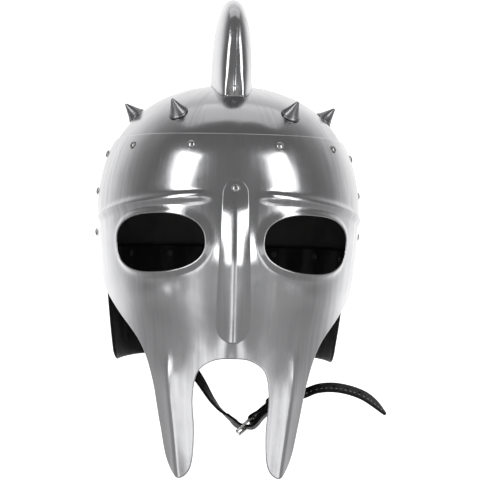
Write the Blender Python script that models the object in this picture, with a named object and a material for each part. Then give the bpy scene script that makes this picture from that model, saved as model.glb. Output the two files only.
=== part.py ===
"""Gladiator helmet: a riveted steel bowl and face mask, a nasal, a hollow comb, studs, a leather neck flap
and a buckled chin strap.

Metres, +Z up. The face looks along -Y and +X is the wearer's left. The origin is the inside of the crown,
where the bowl sits on a head. Every sheet follows one form: azimuth 0 is the front, and the height runs down
from the crown."""

import math

import bmesh
import bpy
import numpy as np
from mathutils import Vector
from mathutils.bvhtree import BVHTree
from mathutils.geometry import delaunay_2d_cdt

SPLINE_STEPS = 30

# Sheets and the gaps between them
CLEAR = 0.0003
BOWL_SHEET = 0.0012
MASK_SHEET = 0.0013
CREST_SHEET = 0.0012
FLAP_LEATHER = 0.0025
MASK_GAP = 0.0005
FLAP_GAP = 0.0005
STRAP_GAP = 0.0016
FOLD_GAP = 0.0005
STRAP_LEATHER = 0.0022
BUCKLE_LEATHER = 0.0020

# The form that every sheet follows: the bowl's outer face, and its run down to the chin
FORM_HALF_WIDTH = 0.1078
FORM_HALF_LENGTH = 0.1220
DOME_HEIGHT = 0.1070
FULLNESS = 0.020  # third harmonic that squares each section a little
EGG = 0.040  # how much narrower the front half is than the rear half
SIDE_TAPER = 1.6
FRONT_TAPER = 0.75
REAR_TAPER = 1.0
TAPER_START = 0.060

# Bowl
BOWL_AZIMUTHS = 48
BOWL_RINGS = 10
BOWL_FRONT_RIM = -0.080
BOWL_REAR_RIM = -0.150
RIM_DROP_FROM, RIM_DROP_TO = math.radians(62), math.radians(84)

# Mask, laid out flat: u is azimuth times this radius, and z is the height
FLAT_RADIUS = 0.112
MASK_POINT_SPACING, MASK_KEEP_OFF = 0.0112, 0.0030
MASK_EDGE_SPACING = 0.0064
MASK_REACH = 0.1950
MASK_OUTLINE = (  # right half, from the forehead round to the mouth: (u, z)
    (0.0000, -0.0430),
    (0.0900, -0.0435),
    (0.1600, -0.0465),
    (0.1840, -0.0520),
    (0.1900, -0.0720),
    (0.1895, -0.1160),
    (0.1790, -0.1430),
    (0.1510, -0.1660),
    (0.1180, -0.1850),
    (0.0900, -0.2060),
    (0.0765, -0.2350),
    (0.0710, -0.2680),
    (0.0655, -0.2960),
    (0.0520, -0.3105),
    (0.0390, -0.3020),
    (0.0345, -0.2760),
    (0.0350, -0.2480),
    (0.0300, -0.2275),
    (0.0160, -0.2180),
    (0.0000, -0.2160),
)
EYE_U, EYE_Z = 0.0655, -0.1275
EYE_HALF_LENGTH, EYE_HALF_HEIGHT = 0.0430, 0.0225
EYE_POWER = 2.4
EYE_POINTS, EYE_RINGS = 30, (0.0030, 0.0072)
EYE_TILT = math.radians(-4)
RIM_RISE, RIM_REACH = 0.0022, 0.0036
BROW_Z, BROW_BEND = -0.0905, 0.90
BROW_RISE, BROW_REACH = 0.0026, 0.0034
BROW_FROM, BROW_TO, BROW_RUN = 0.014, 0.158, 0.016
BROW_POINTS, BROW_EDGE = 41, 0.0042
KEEL_RISE, KEEL_REACH = 0.0065, 0.0170
KEEL_TOP, KEEL_BOTTOM, KEEL_LAST = -0.095, -0.222, -0.208
KEEL_RUN, KEEL_FADE = 0.050, 0.55
CHEEK_RISE, CHEEK_REACH, CHEEK_RUN = 0.0040, 0.0115, 0.0500
CHEEK_LINE = ((0.0590, -0.2000), (0.0520, -0.3080))
RIDGE_POINTS = 15
BONE_RISE, BONE_U, BONE_Z = 0.0030, 0.0760, -0.1720
BONE_WIDE, BONE_HIGH = 0.0300, 0.0140

# Nasal
NASAL_TOP, NASAL_BOTTOM = -0.0790, -0.2030
NASAL_TOP_HALF, NASAL_BOTTOM_HALF = 0.0095, 0.0140
NASAL_RIDGE, NASAL_FLAT = 0.0032, 0.0100
NASAL_GAP = 0.0004
NASAL_ROWS, NASAL_COLUMNS = 16, 4

# Comb: its mid-line in the plane of symmetry, from the front foot over the top to the rear foot, (y, z)
COMB_RIDGE = (
    (-0.0640, -0.0175),
    (-0.0655, 0.0100),
    (-0.0610, 0.0380),
    (-0.0460, 0.0600),
    (-0.0150, 0.0715),
    (0.0250, 0.0680),
    (0.0640, 0.0500),
    (0.0980, 0.0180),
    (0.1190, -0.0250),
    (0.1265, -0.0620),
    (0.1185, -0.0900),
)
COMB_HALF_WIDTH, COMB_END_HALF = 0.0165, 0.0045
COMB_WIDEST = 0.30
COMB_FOOT = -0.0170
COMB_ROOT = 0.008  # how far the comb is drawn into the bowl before it is trimmed to it
COMB_DEEPEST = 0.030
COMB_POWER = 2.6
COMB_STATIONS, COMB_SIDES = 22, 10

# Studs and rivets
RIVET_SHANK, RIVET_HOLE = 0.0015, 0.0019
RIVET_HEAD, RIVET_RISE = 0.0034, 0.0019
RIVET_BACK, RIVET_BACK_RISE = 0.0028, 0.0008
STUD_BASE, STUD_FOOT, STUD_RISE, STUD_TIP = 0.0080, 0.0010, 0.0140, 0.0012
STUD_AZIMUTHS = (34, 90, 146)
STUD_SLOPE = 44
PROBE, CUT_PAST = 0.020, 0.002
MASK_RIVETS = ((20, -0.0520), (54, -0.0525), (88, -0.0585), (90, -0.0890))
STRAP_RIVET = (90, -0.1230)
FLAP_RIVETS = (105, 130, 155)
FLAP_RIVET_Z = -0.1430
NASAL_RIVET_Z = -0.0855

# Neck flap
FLAP_TOP, FLAP_BOTTOM = -0.1360, -0.2320
FLAP_FROM = 96
FLAP_CORNER = 0.014
FLAP_WAVE, FLAP_FLARE, FLAP_FREE = 0.0016, 0.0020, 0.0040
FLAP_ROWS, FLAP_END_STEPS = 7, (0.0, 1.4, 4.0)

# Chin strap
STRAP_WIDTH = 0.0120
TIP_LENGTH, TIP_WIDTH = 0.0220, 0.0022
BUCKLE_CENTRE = (0.0141, -0.0680, -0.2750)
BUCKLE_ALONG = (0.740, 0.100, 0.660)
BUCKLE_ACROSS = (0.170, 0.930, -0.330)
BUCKLE_HALF_LENGTH, BUCKLE_HALF_WIDTH = 0.0080, 0.0080
HEEL_STRAIGHT = 0.0045
BUCKLE_CORNER, BUCKLE_WIRE, PRONG_WIRE = 0.0022, 0.0011, 0.0008
PRONG_HEIGHT = BUCKLE_WIRE + CLEAR + PRONG_WIRE
PRONG_SLOT, PRONG_SLOT_HALF, PRONG_SLOT_DEEP = (0.0024, 0.0122), 0.0013, 0.0055
PRONG_HOLE, PRONG_HOLE_RADIUS = (-0.0060, 0.0075), 0.0012
PRONG_TIP = -0.0090
LEFT_ROUTE = (  # down the left side to the buckle: x, y, z, and the direction of the strap's width
    (-0.0958, -0.0070, -0.1520, 0.00, 1.00, 0.10),
    (-0.0830, -0.0300, -0.1860, 0.30, 0.88, 0.22),
    (-0.0580, -0.0540, -0.2110, 0.50, 0.70, 0.42),
    (-0.0300, -0.0650, -0.2300, 0.45, 0.78, 0.36),
    (-0.0125, -0.0670, -0.2545, 0.26, 0.93, 0.02),
)
WALL_RUN = (0.0080, -0.0030, -0.0140)  # a strap's end lies on the bowl from above its rivet to below it
THROUGH_BUCKLE = (  # along the buckle and out of its plane in millimetres, and the strap's twist in degrees
    (-5.4, -18.8, 0),
    (-4.7, -12.6, -8),
    (-4.2, -8.2, -14),
    (-3.6, -4.6, -12),
    (-2.0, -1.6, -6),
    (0.6, 1.3, 0),
    (3.6, 4.2, 0),
)
RIGHT_ROUTE = (  # from the buckle's heel bar up the right side
    (0.0276, -0.0663, -0.2630, 0.17, 0.94, -0.30),
    (0.0362, -0.0645, -0.2552, 0.12, 0.95, -0.26),
    (0.0455, -0.0600, -0.2450, 0.04, 0.97, -0.15),
    (0.0580, -0.0500, -0.2290, -0.04, 0.99, -0.02),
    (0.0762, -0.0330, -0.2015, -0.04, 1.00, 0.02),
    (0.0905, -0.0130, -0.1680, 0.00, 1.00, 0.00),
)
FREE_ROUTE = (  # the free end, behind the right cheek and out past it
    (0.0590, -0.0600, -0.2503, -0.10, 0.92, 0.30),
    (0.0716, -0.0602, -0.2450, 0.00, 0.90, 0.42),
    (0.0841, -0.0595, -0.2437, 0.05, 0.88, 0.46),
    (0.0968, -0.0580, -0.2455, 0.10, 0.87, 0.47),
    (0.1097, -0.0560, -0.2500, 0.18, 0.86, 0.46),
    (0.1200, -0.0530, -0.2568, 0.25, 0.86, 0.42),
    (0.1298, -0.0500, -0.2663, 0.30, 0.86, 0.40),
)
FOLD_LENGTH, FOLD_STEPS, PINCH_RUN = 0.0240, 18, 0.0080
BILLET_RISE, RISE_FROM, RISE_TO = 0.0008, 0.010, 0.026  # how the free end lifts off the fold
BESIDE_FOLD = (0.0, 0.006, 0.012, 0.018, 0.024)
KEEPER_AT, KEEPER_WIDTH, KEEPER_LEATHER, KEEPER_CORNER = 0.0190, 0.0050, 0.0012, 0.0012
FOLD_RIVETS = (0.0080, 0.0130)
FOLD_SHANK, FOLD_HOLE, FOLD_HEAD, FOLD_HEAD_RISE = 0.0008, 0.0011, 0.0015, 0.0008
FREE_HOLES = (0.030, 0.041, 0.052, 0.063, 0.074)
PUNCH_RADIUS, PUNCH_REACH = 0.0012, 0.0030

STEEL = (0.62, 0.63, 0.64)
DARK_STEEL = (0.36, 0.35, 0.33)
BLACK_LEATHER = (0.018, 0.018, 0.019)
NICKEL = (0.80, 0.79, 0.76)


def clear_scene():
    for old in list(bpy.data.objects):
        bpy.data.objects.remove(old, do_unlink=True)


def finish(obj, colour, metallic, roughness):
    """Gives an object its own Principled material."""
    made = bpy.data.materials.new(obj.name)
    made.use_nodes = True
    shader = made.node_tree.nodes["Principled BSDF"]
    shader.inputs["Base Color"].default_value = (*colour, 1.0)
    shader.inputs["Metallic"].default_value = metallic
    shader.inputs["Roughness"].default_value = roughness
    obj.data.materials.append(made)
    return obj


def steel(obj):
    return finish(obj, STEEL, 1.0, 0.22)


def leather(obj):
    return finish(obj, BLACK_LEATHER, 0.0, 0.42)


def nickel(obj):
    return finish(obj, NICKEL, 1.0, 0.12)


def body(name, points, faces, smooth_below=40):
    """A mesh object from points and faces, its faces turned outwards."""
    mesh = bpy.data.meshes.new(name)
    corners = [tuple(map(float, p)) for p in points]
    mesh.from_pydata(corners, [], [tuple(map(int, f)) for f in faces])
    work = bmesh.new()
    work.from_mesh(mesh)
    bmesh.ops.recalc_face_normals(work, faces=work.faces)
    if work.calc_volume(signed=True) < 0:
        bmesh.ops.reverse_faces(work, faces=work.faces)
    work.to_mesh(mesh)
    work.free()
    mesh.shade_smooth()
    mesh.set_sharp_from_angle(angle=math.radians(smooth_below))
    obj = bpy.data.objects.new(name, mesh)
    bpy.context.scene.collection.objects.link(obj)
    return obj


def helper(obj):
    """A cutter: it shapes others and isn't a piece itself."""
    obj.hide_render = True
    obj.display_type = "WIRE"
    return obj


def cut(obj, cutter):
    modifier = obj.modifiers.new("cut", "BOOLEAN")
    modifier.operation = "DIFFERENCE"
    modifier.object = cutter
    modifier.solver = "EXACT"


def wall(name, outer, inner, faces):
    """A closed wall between two skins that share their faces. The open edges are joined by quads."""
    count = len(outer)
    ends = {}
    for face in faces:
        for a, b in zip(face, (*face[1:], face[0])):
            ends[(int(a), int(b))] = True
    rims = [(a, b) for a, b in ends if (b, a) not in ends]
    sides = [(b, a, a + count, b + count) for a, b in rims]
    back = [tuple(i + count for i in reversed(face)) for face in faces]
    return body(name, np.vstack([outer, inner]), [tuple(f) for f in faces] + back + sides)


def ease(low, high, value):
    t = np.clip((value - low) / (high - low), 0.0, 1.0)
    return t * t * (3 - 2 * t)


def unit(vectors):
    vectors = np.asarray(vectors, float)
    return vectors / np.linalg.norm(vectors, axis=-1, keepdims=True)


# ---- the form ----


def slope_at(z):
    """How far round the profile a height is: up to pi/2 on the dome, past it on the straight below."""
    z = np.asarray(z, float) - BOWL_SHEET
    h = np.clip(1 + z / DOME_HEIGHT, 0.0, 1.0)
    c = h.copy()
    for _ in range(8):
        error = (1 + 3 * FULLNESS) * c - 4 * FULLNESS * c**3 - (1 - FULLNESS) * h
        c = np.clip(c - error / (1 + 3 * FULLNESS - 12 * FULLNESS * c**2), 0.0, 1.0)
    return np.arccos(c) + np.maximum(-z - DOME_HEIGHT, 0) / DOME_HEIGHT


def form_base(azimuth, slope):
    psi = np.minimum(slope, math.pi / 2)
    below = np.maximum(slope - math.pi / 2, 0) * DOME_HEIGHT
    keep = 1 - FULLNESS
    drop = (np.cos(psi) - FULLNESS * np.cos(3 * psi)) / keep
    z = BOWL_SHEET - DOME_HEIGHT - below + DOME_HEIGHT * drop
    radius = (np.sin(psi) + FULLNESS * np.sin(3 * psi)) / keep
    narrowing = below**2 / (below + TAPER_START)
    mean, swing = (FRONT_TAPER + REAR_TAPER) / 2, (FRONT_TAPER - REAR_TAPER) / 2
    wide = radius * (1 - SIDE_TAPER * narrowing)
    long = radius * (1 - (mean + swing * np.cos(azimuth)) * narrowing)
    across = (np.sin(azimuth) + FULLNESS * np.sin(3 * azimuth)) / keep
    ahead = (np.cos(azimuth) - FULLNESS * np.cos(3 * azimuth)) / keep
    x = FORM_HALF_WIDTH * wide * across * (1 - EGG * np.cos(azimuth))
    y = -FORM_HALF_LENGTH * long * ahead
    return np.stack(np.broadcast_arrays(x, y, z), axis=-1)


def form_normal(azimuth, slope):
    slope = np.maximum(slope, 0.002)
    step = 1e-4
    round_it = form_base(azimuth + step, slope) - form_base(azimuth - step, slope)
    down_it = form_base(azimuth, slope + step) - form_base(azimuth, slope - step)
    return unit(np.cross(down_it, round_it))


def form(azimuth, slope, lift=0.0):
    """Points of the form, moved out along its normal by lift."""
    azimuth, slope = np.broadcast_arrays(np.asarray(azimuth, float), np.asarray(slope, float))
    return form_base(azimuth, slope) + form_normal(azimuth, slope) * np.asarray(lift, float)[..., None]


# ---- bowl ----


def bowl_grid(lift):
    """The bowl's skin: the crown's point, then ring after ring to a rim that drops behind the temples."""
    azimuth = np.arange(BOWL_AZIMUTHS) * 2 * math.pi / BOWL_AZIMUTHS
    turn = np.abs((azimuth + math.pi) % (2 * math.pi) - math.pi)
    drop = ease(RIM_DROP_FROM, RIM_DROP_TO, turn)
    rim = slope_at(BOWL_FRONT_RIM + (BOWL_REAR_RIM - BOWL_FRONT_RIM) * drop)
    ring = np.arange(1, BOWL_RINGS + 1)[:, None] / BOWL_RINGS
    skin = form(azimuth[None, :], rim[None, :] * ring, lift)
    points = np.vstack([form(0.0, 0.0, lift)[None, :], skin.reshape(-1, 3)])
    n = BOWL_AZIMUTHS
    faces = [(0, 1 + i, 1 + (i + 1) % n) for i in range(n)]
    for j in range(BOWL_RINGS - 1):
        for i in range(n):
            a, b = 1 + j * n + i, 1 + j * n + (i + 1) % n
            faces.append((a, a + n, b + n, b))
    return points, faces


def make_bowl():
    outer, faces = bowl_grid(0.0)
    inner, _ = bowl_grid(-BOWL_SHEET)
    return steel(wall("bowl", outer, inner, faces))


def make_bowl_cutter():
    """The bowl's outer face, one gap larger, as a thick skin: what stands on the bowl is trimmed to it."""
    outer, faces = bowl_grid(CLEAR)
    inner, _ = bowl_grid(-COMB_DEEPEST)
    return helper(wall("bowl_cutter", outer, inner, faces))


# ---- face mask ----


def smooth_line(points):
    """Many points along a Catmull-Rom line, from the second point to the last but one."""
    t = np.linspace(0, 1, SPLINE_STEPS, endpoint=False)[:, None]
    dense = []
    for a, b, c, d in zip(points[:-3], points[1:-2], points[2:-1], points[3:]):
        square = (2 * a - 5 * b + 4 * c - d) * t**2
        cube = (3 * b - a - 3 * c + d) * t**3
        dense.append(0.5 * (2 * b + (c - a) * t + square + cube))
    return np.vstack([*dense, points[-2:-1]])


def run_of(line):
    """Distance along a line of points, over its first three columns."""
    return np.concatenate([[0], np.cumsum(np.linalg.norm(np.diff(line[:, :3], axis=0), axis=1))])


def at_steps(line, run, at):
    return np.column_stack([np.interp(at, run, line[:, k]) for k in range(line.shape[1])])


def closed_spline(points, spacing):
    """A smooth closed line through the points, cut into equal steps."""
    points = np.asarray(points, float)
    line = smooth_line(np.vstack([points[-1:], points, points[:2]]))
    run = run_of(line)
    return at_steps(line, run, np.linspace(0, run[-1], int(round(run[-1] / spacing)), endpoint=False))


def mask_outline():
    right = np.array(MASK_OUTLINE)
    left = right[-2:0:-1] * (-1, 1)
    return closed_spline(np.vstack([right, left]), MASK_EDGE_SPACING)


def eye_ring(side, away, count):
    """A line round one eye opening, this far outside it."""
    angle = np.arange(count) * 2 * math.pi / count
    c, s = np.cos(angle), np.sin(angle)
    size = np.abs(c / EYE_HALF_LENGTH) ** EYE_POWER + np.abs(s / EYE_HALF_HEIGHT) ** EYE_POWER
    reach = size ** (-1 / EYE_POWER)
    ring = np.column_stack([c * reach, s * reach])
    along = np.roll(ring, -1, axis=0) - np.roll(ring, 1, axis=0)
    ring = ring + unit(np.column_stack([along[:, 1], -along[:, 0]])) * away
    tilt_c, tilt_s = math.cos(EYE_TILT), math.sin(EYE_TILT)
    u = EYE_U + ring[:, 0] * tilt_c - ring[:, 1] * tilt_s
    z = EYE_Z + ring[:, 0] * tilt_s + ring[:, 1] * tilt_c
    return np.column_stack([u * side, z])[::side]


def eye_distance(u, z):
    """How far a point of the flat mask is outside the nearer eye opening."""
    du, dz = np.abs(u) - EYE_U, z - EYE_Z
    along = du * math.cos(EYE_TILT) + dz * math.sin(EYE_TILT)
    across = dz * math.cos(EYE_TILT) - du * math.sin(EYE_TILT)
    a, b = np.abs(along) / EYE_HALF_LENGTH, np.abs(across) / EYE_HALF_HEIGHT
    size = np.maximum((a**EYE_POWER + b**EYE_POWER) ** (1 / EYE_POWER), 1e-6)
    grade = np.hypot(a ** (EYE_POWER - 1) / EYE_HALF_LENGTH, b ** (EYE_POWER - 1) / EYE_HALF_HEIGHT)
    return (size - 1) / np.maximum(grade * size ** (1 - EYE_POWER), 1e-6)


def brow_height(u):
    return BROW_Z - BROW_BEND * u**2


def relief(u, z):
    """How far the mask stands out of the form: rims, brow bead, nose, cheekbones and cheek ridges."""
    side = np.abs(u)
    rim = RIM_RISE * np.exp(-((np.maximum(eye_distance(u, z), 0) / RIM_REACH) ** 2))
    ends = ease(BROW_FROM, BROW_FROM + BROW_RUN, side)
    ends = ends * (1 - ease(BROW_TO - BROW_RUN, BROW_TO, side))
    brow = BROW_RISE * np.exp(-(((z - brow_height(u)) / BROW_REACH) ** 2)) * ends
    lower = 1 - KEEL_FADE * ease(KEEL_BOTTOM + KEEL_RUN, KEEL_BOTTOM, z)
    span = ease(KEEL_TOP, KEEL_TOP - KEEL_RUN, z) * lower
    keel = KEEL_RISE * np.exp(-((side / KEEL_REACH) ** 2)) * span
    (u0, z0), (u1, z1) = CHEEK_LINE
    on_line = u0 + (u1 - u0) * (z - z0) / (z1 - z0)
    cheek = CHEEK_RISE * np.exp(-(((side - on_line) / CHEEK_REACH) ** 2))
    cheek = cheek * ease(z0, z0 - CHEEK_RUN, z)
    away = ((side - BONE_U) / BONE_WIDE) ** 2 + ((z - BONE_Z) / BONE_HIGH) ** 2
    bone = BONE_RISE * np.exp(-away)
    return rim + brow + keel + cheek + bone


def inside(points, loop):
    """Which of the points are inside a closed line, by counting the edges that a ray crosses."""
    x, y = points[:, :1], points[:, 1:]
    x0, y0 = loop[:, 0], loop[:, 1]
    x1, y1 = np.roll(x0, -1), np.roll(y0, -1)
    spans = (y0 > y) != (y1 > y)
    rise = np.where(y1 == y0, 1e-12, y1 - y0)
    return (spans & (x < x0 + (y - y0) * (x1 - x0) / rise)).sum(axis=1) % 2 == 1


def flat_mesh(loops, fill, keep_off):
    """Triangles over a flat shape, from its outline, its holes and lines to follow, and points between."""
    placed = np.vstack(loops)
    for point in fill:
        if np.min(np.sum((placed - point) ** 2, axis=1)) > keep_off**2:
            placed = np.vstack([placed, point])
    edges, start = [], 0
    for loop in loops:
        n = len(loop)
        edges += [(start + i, start + (i + 1) % n) for i in range(n)]
        start += n
    flat, _, faces, *_ = delaunay_2d_cdt([Vector(p) for p in placed], edges, [], 0, 1e-7)
    return np.array([tuple(p) for p in flat]), np.array(faces)


def mask_flat():
    outline = mask_outline()
    eyes = [eye_ring(side, 0.0, EYE_POINTS) for side in (1, -1)]
    rings = [eye_ring(side, away, EYE_POINTS) for side in (1, -1) for away in EYE_RINGS]
    u = np.linspace(-BROW_TO, BROW_TO, BROW_POINTS)
    beads = [np.column_stack([u, brow_height(u) + off]) for off in (0.0, BROW_EDGE, -BROW_EDGE)]
    (u0, z0), (u1, z1) = CHEEK_LINE
    down = np.linspace(z0, z1, RIDGE_POINTS)[1:]
    ridge = u0 + (u1 - u0) * (down - z0) / (z1 - z0)
    ridges = np.vstack([np.column_stack([side * ridge, down]) for side in (1, -1)])
    nose = np.column_stack([np.zeros(RIDGE_POINTS), np.linspace(KEEL_TOP, KEEL_LAST, RIDGE_POINTS)])
    rows, step = [], MASK_POINT_SPACING
    for j, height in enumerate(np.arange(min(z for _, z in MASK_OUTLINE), 0, step * 0.87)):
        across = np.arange(-MASK_REACH, MASK_REACH, step) + (j % 2) * step / 2
        rows.append(np.column_stack([across, np.full(len(across), height)]))
    fill = np.vstack([ridges, nose, *beads, *rows])
    inner = inside(fill, outline) & ~inside(fill, eyes[0]) & ~inside(fill, eyes[1])
    points, faces = flat_mesh([outline, *eyes, *rings], fill[inner], MASK_KEEP_OFF)
    middle = points[faces].mean(axis=1)
    kept = inside(middle, outline) & ~inside(middle, eyes[0]) & ~inside(middle, eyes[1])
    return points, faces[kept]


def make_face_mask():
    flat, faces = mask_flat()
    azimuth, slope = flat[:, 0] / FLAT_RADIUS, slope_at(flat[:, 1])
    lift = MASK_GAP + relief(flat[:, 0], flat[:, 1])
    outer = form(azimuth, slope, lift + MASK_SHEET)
    inner = form(azimuth, slope, lift)
    used = np.unique(faces)
    place = np.full(len(flat), -1)
    place[used] = np.arange(len(used))
    return steel(wall("face_mask", outer[used], inner[used], [tuple(place[f]) for f in faces]))


def round_end(away, radius):
    """How much of a strip's width is left this far from its rounded end, never less than a third."""
    away = np.minimum(away, radius)
    return np.sqrt(np.clip(1 - (1 - away / radius) ** 2, 0.1, 1))


def make_nasal():
    """A strip with a ridge down its middle, over the mask's nose, its lower end rounded."""
    down = np.linspace(0, 1, NASAL_ROWS + 1)[:, None]
    across = np.linspace(-1, 1, NASAL_COLUMNS + 1)[None, :]
    z = NASAL_TOP + (NASAL_BOTTOM - NASAL_TOP) * down
    half = NASAL_TOP_HALF + (NASAL_BOTTOM_HALF - NASAL_TOP_HALF) * down
    top_round = round_end(NASAL_TOP - z, NASAL_TOP_HALF)
    low_round = round_end(z - NASAL_BOTTOM, NASAL_BOTTOM_HALF)
    u = across * half * top_round * low_round
    z = z + 0 * across
    ridge = NASAL_RIDGE * (1 - np.abs(u) / half)
    ridge = ridge * ease(NASAL_TOP - NASAL_FLAT, NASAL_TOP - 3 * NASAL_FLAT, z)
    lift = MASK_GAP + MASK_SHEET + NASAL_GAP + relief(u, z) + ridge
    azimuth, slope = u / FLAT_RADIUS, slope_at(z)
    outer = form(azimuth, slope, lift + MASK_SHEET).reshape(-1, 3)
    inner = form(azimuth, slope, lift).reshape(-1, 3)
    n = NASAL_COLUMNS + 1
    faces = [
        (j * n + i, (j + 1) * n + i, (j + 1) * n + i + 1, j * n + i + 1)
        for j in range(NASAL_ROWS)
        for i in range(NASAL_COLUMNS)
    ]
    return steel(wall("nasal", outer, inner, faces))


# ---- comb ----


def open_spline(points, count):
    """A smooth line through the points, from the first to the last, in equal steps."""
    points = np.asarray(points, float)
    line = smooth_line(np.vstack([2 * points[0] - points[1], points, 2 * points[-1] - points[-2]]))
    run = run_of(line)
    return at_steps(line, run, np.linspace(0, run[-1], count))


def comb_solid(name, inset, root):
    """The comb as a closed body: arched sections from end to end, drawn in by inset and down by root."""
    t = np.linspace(0, 1, COMB_STATIONS + 1)
    ridge = open_spline(COMB_RIDGE, COMB_STATIONS + 1)
    along = unit(np.gradient(ridge, axis=0))
    ridge = ridge + np.column_stack([along[:, 1], -along[:, 0]]) * inset
    front, rear = slope_at(COMB_FOOT), slope_at(COMB_RIDGE[-1][1])
    walk = -front + (front + rear) * t
    foot = form(np.where(walk < 0, 0.0, math.pi), np.abs(walk), -root)[:, 1:]
    nose = np.sqrt(np.clip(1 - (1 - t / COMB_WIDEST) ** 2, 0, 1))
    tail = np.cos(0.5 * math.pi * np.clip((t - COMB_WIDEST) / (1 - COMB_WIDEST), 0, 1)) ** 0.8
    half = np.maximum(COMB_HALF_WIDTH * np.where(t < COMB_WIDEST, nose, tail), COMB_END_HALF) - inset
    angle = np.linspace(0, math.pi, COMB_SIDES + 1)
    out = np.sign(np.cos(angle)) * np.abs(np.cos(angle)) ** (2 / COMB_POWER)
    up = np.abs(np.sin(angle)) ** (2 / COMB_POWER)
    x = half[:, None] * out
    yz = foot[:, None, :] + up[:, None] * (ridge - foot)[:, None, :]
    points = np.concatenate([x[..., None], yz], axis=-1).reshape(-1, 3)
    n = COMB_SIDES + 1
    faces = [
        (j * n + i, (j + 1) * n + i, (j + 1) * n + (i + 1) % n, j * n + (i + 1) % n)
        for j in range(COMB_STATIONS)
        for i in range(n)
    ]
    faces += [tuple(range(n)), tuple(COMB_STATIONS * n + i for i in reversed(range(n)))]
    return body(name, points, faces)


def make_crest(bowl_cutter):
    crest = comb_solid("crest", 0.0, COMB_ROOT)
    cut(crest, helper(comb_solid("crest_hollow", CREST_SHEET, 1.5 * COMB_ROOT)))
    cut(crest, bowl_cutter)
    return steel(crest)


# ---- rivets and studs ----


def turned(name, profile, segments):
    """A solid of revolution about local Z from (radius, height) rows, its two ends on the axis."""
    mesh = bpy.data.meshes.new(name)
    work = bmesh.new()
    line = [work.verts.new((r, 0.0, z)) for r, z in profile]
    edges = [work.edges.new(pair) for pair in zip(line, line[1:])]
    bmesh.ops.spin(
        work,
        geom=line + edges,
        cent=(0, 0, 0),
        axis=(0, 0, 1),
        angle=2 * math.pi,
        steps=segments,
        use_merge=True,
        use_duplicate=False,
    )
    bmesh.ops.remove_doubles(work, verts=work.verts, dist=1e-6)
    bmesh.ops.recalc_face_normals(work, faces=work.faces)
    work.to_mesh(mesh)
    work.free()
    mesh.shade_smooth()
    mesh.set_sharp_from_angle(angle=math.radians(40))
    obj = bpy.data.objects.new(name, mesh)
    bpy.context.scene.collection.objects.link(obj)
    return obj


def place(obj, point, normal):
    obj.location = Vector(point)
    obj.rotation_euler = Vector(normal).to_track_quat("Z", "Y").to_euler()
    return obj


def set_end(low):
    """The inner end of a rivet, hammered flat, and the start of its shank."""
    far = low - RIVET_BACK_RISE
    return [(0, far), (RIVET_BACK, far), (RIVET_BACK, low), (RIVET_SHANK, low), (RIVET_SHANK, 0)]


def rivet_profile(shank):
    """A domed head on the outside, a shank, and a flat set end inside."""
    dome = [(RIVET_HEAD * math.cos(a), RIVET_RISE * math.sin(a)) for a in np.radians((0, 25, 58))]
    return [*set_end(-shank), *dome, (0, RIVET_RISE)]


def stud_profile(shank):
    """A low round cone on a small foot, with a shank and a set end inside."""
    return [
        *set_end(-shank),
        (STUD_BASE, 0),
        (STUD_BASE, STUD_FOOT),
        (STUD_BASE * 0.66, STUD_RISE * 0.36),
        (STUD_TIP, STUD_RISE - STUD_TIP / 2),
        (0, STUD_RISE),
    ]


def skin_of(obj):
    mesh = obj.data
    return BVHTree.FromPolygons([v.co for v in mesh.vertices], [p.vertices[:] for p in mesh.polygons])


def reach(skins, point, normal, radius):
    """How far these skins stand along the normal under a round head, at their highest."""
    side = unit(np.cross(normal, (0.0, 0.31, 0.95)))
    other = np.cross(normal, side)
    angle = np.arange(8) * 2 * math.pi / 8
    ring = (np.cos(angle)[:, None] * side + np.sin(angle)[:, None] * other) * radius
    high = []
    for offset in np.vstack([ring, ring / 2, np.zeros(3)]):
        start = point + offset + normal * PROBE
        for skin in skins:
            _, _, _, away = skin.ray_cast(Vector(start), Vector(-normal), 2 * PROBE)
            if away is not None:
                high.append(PROBE - away)
    return max(high)


def fasteners(sheets):
    """Every rivet and stud: (name, its head's seat, outward normal, length of shank, whether a stud)."""
    bowl, mask, nasal, flap, billet, buckle = (skin_of(sheet) for sheet in sheets)
    rows = []

    def add(name, azimuth, slope, skins, stud=False):
        point, normal = form(azimuth, slope), form_normal(azimuth, slope)
        top = reach(skins, point, normal, STUD_BASE if stud else RIVET_HEAD) + CLEAR
        low = -reach(skins, point, -normal, RIVET_BACK) - CLEAR
        rows.append((name, point + normal * top, normal, top - low, stud))

    for side, word, strap in ((1, "right", buckle), (-1, "left", billet)):
        for i, (degrees, z) in enumerate(MASK_RIVETS, 1):
            add(f"rivet_mask_{word}_{i}", side * math.radians(degrees), slope_at(z), (mask, bowl))
        azimuth, slope = math.radians(STRAP_RIVET[0]), slope_at(STRAP_RIVET[1])
        add(f"rivet_strap_{word}", side * azimuth, slope, (mask, bowl, strap))
        for i, degrees in enumerate(FLAP_RIVETS, 1):
            azimuth = side * math.radians(degrees)
            add(f"rivet_flap_{word}_{i}", azimuth, slope_at(FLAP_RIVET_Z), (bowl, flap))
        for i, degrees in enumerate(STUD_AZIMUTHS, 1):
            add(f"stud_{word}_{i}", side * math.radians(degrees), math.radians(STUD_SLOPE), (bowl,), True)
    add("rivet_flap_middle", math.pi, slope_at(FLAP_RIVET_Z), (bowl, flap))
    add("rivet_nasal", 0.0, slope_at(NASAL_RIVET_Z), (nasal, mask))
    return rows


def make_fasteners(rows):
    for name, seat, normal, shank, stud in rows:
        profile = stud_profile(shank) if stud else rivet_profile(shank)
        made = turned(name, profile, 12 if stud else 10)
        place(made, seat, normal)
        finish(made, DARK_STEEL if stud else STEEL, 1.0, 0.30)


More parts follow.
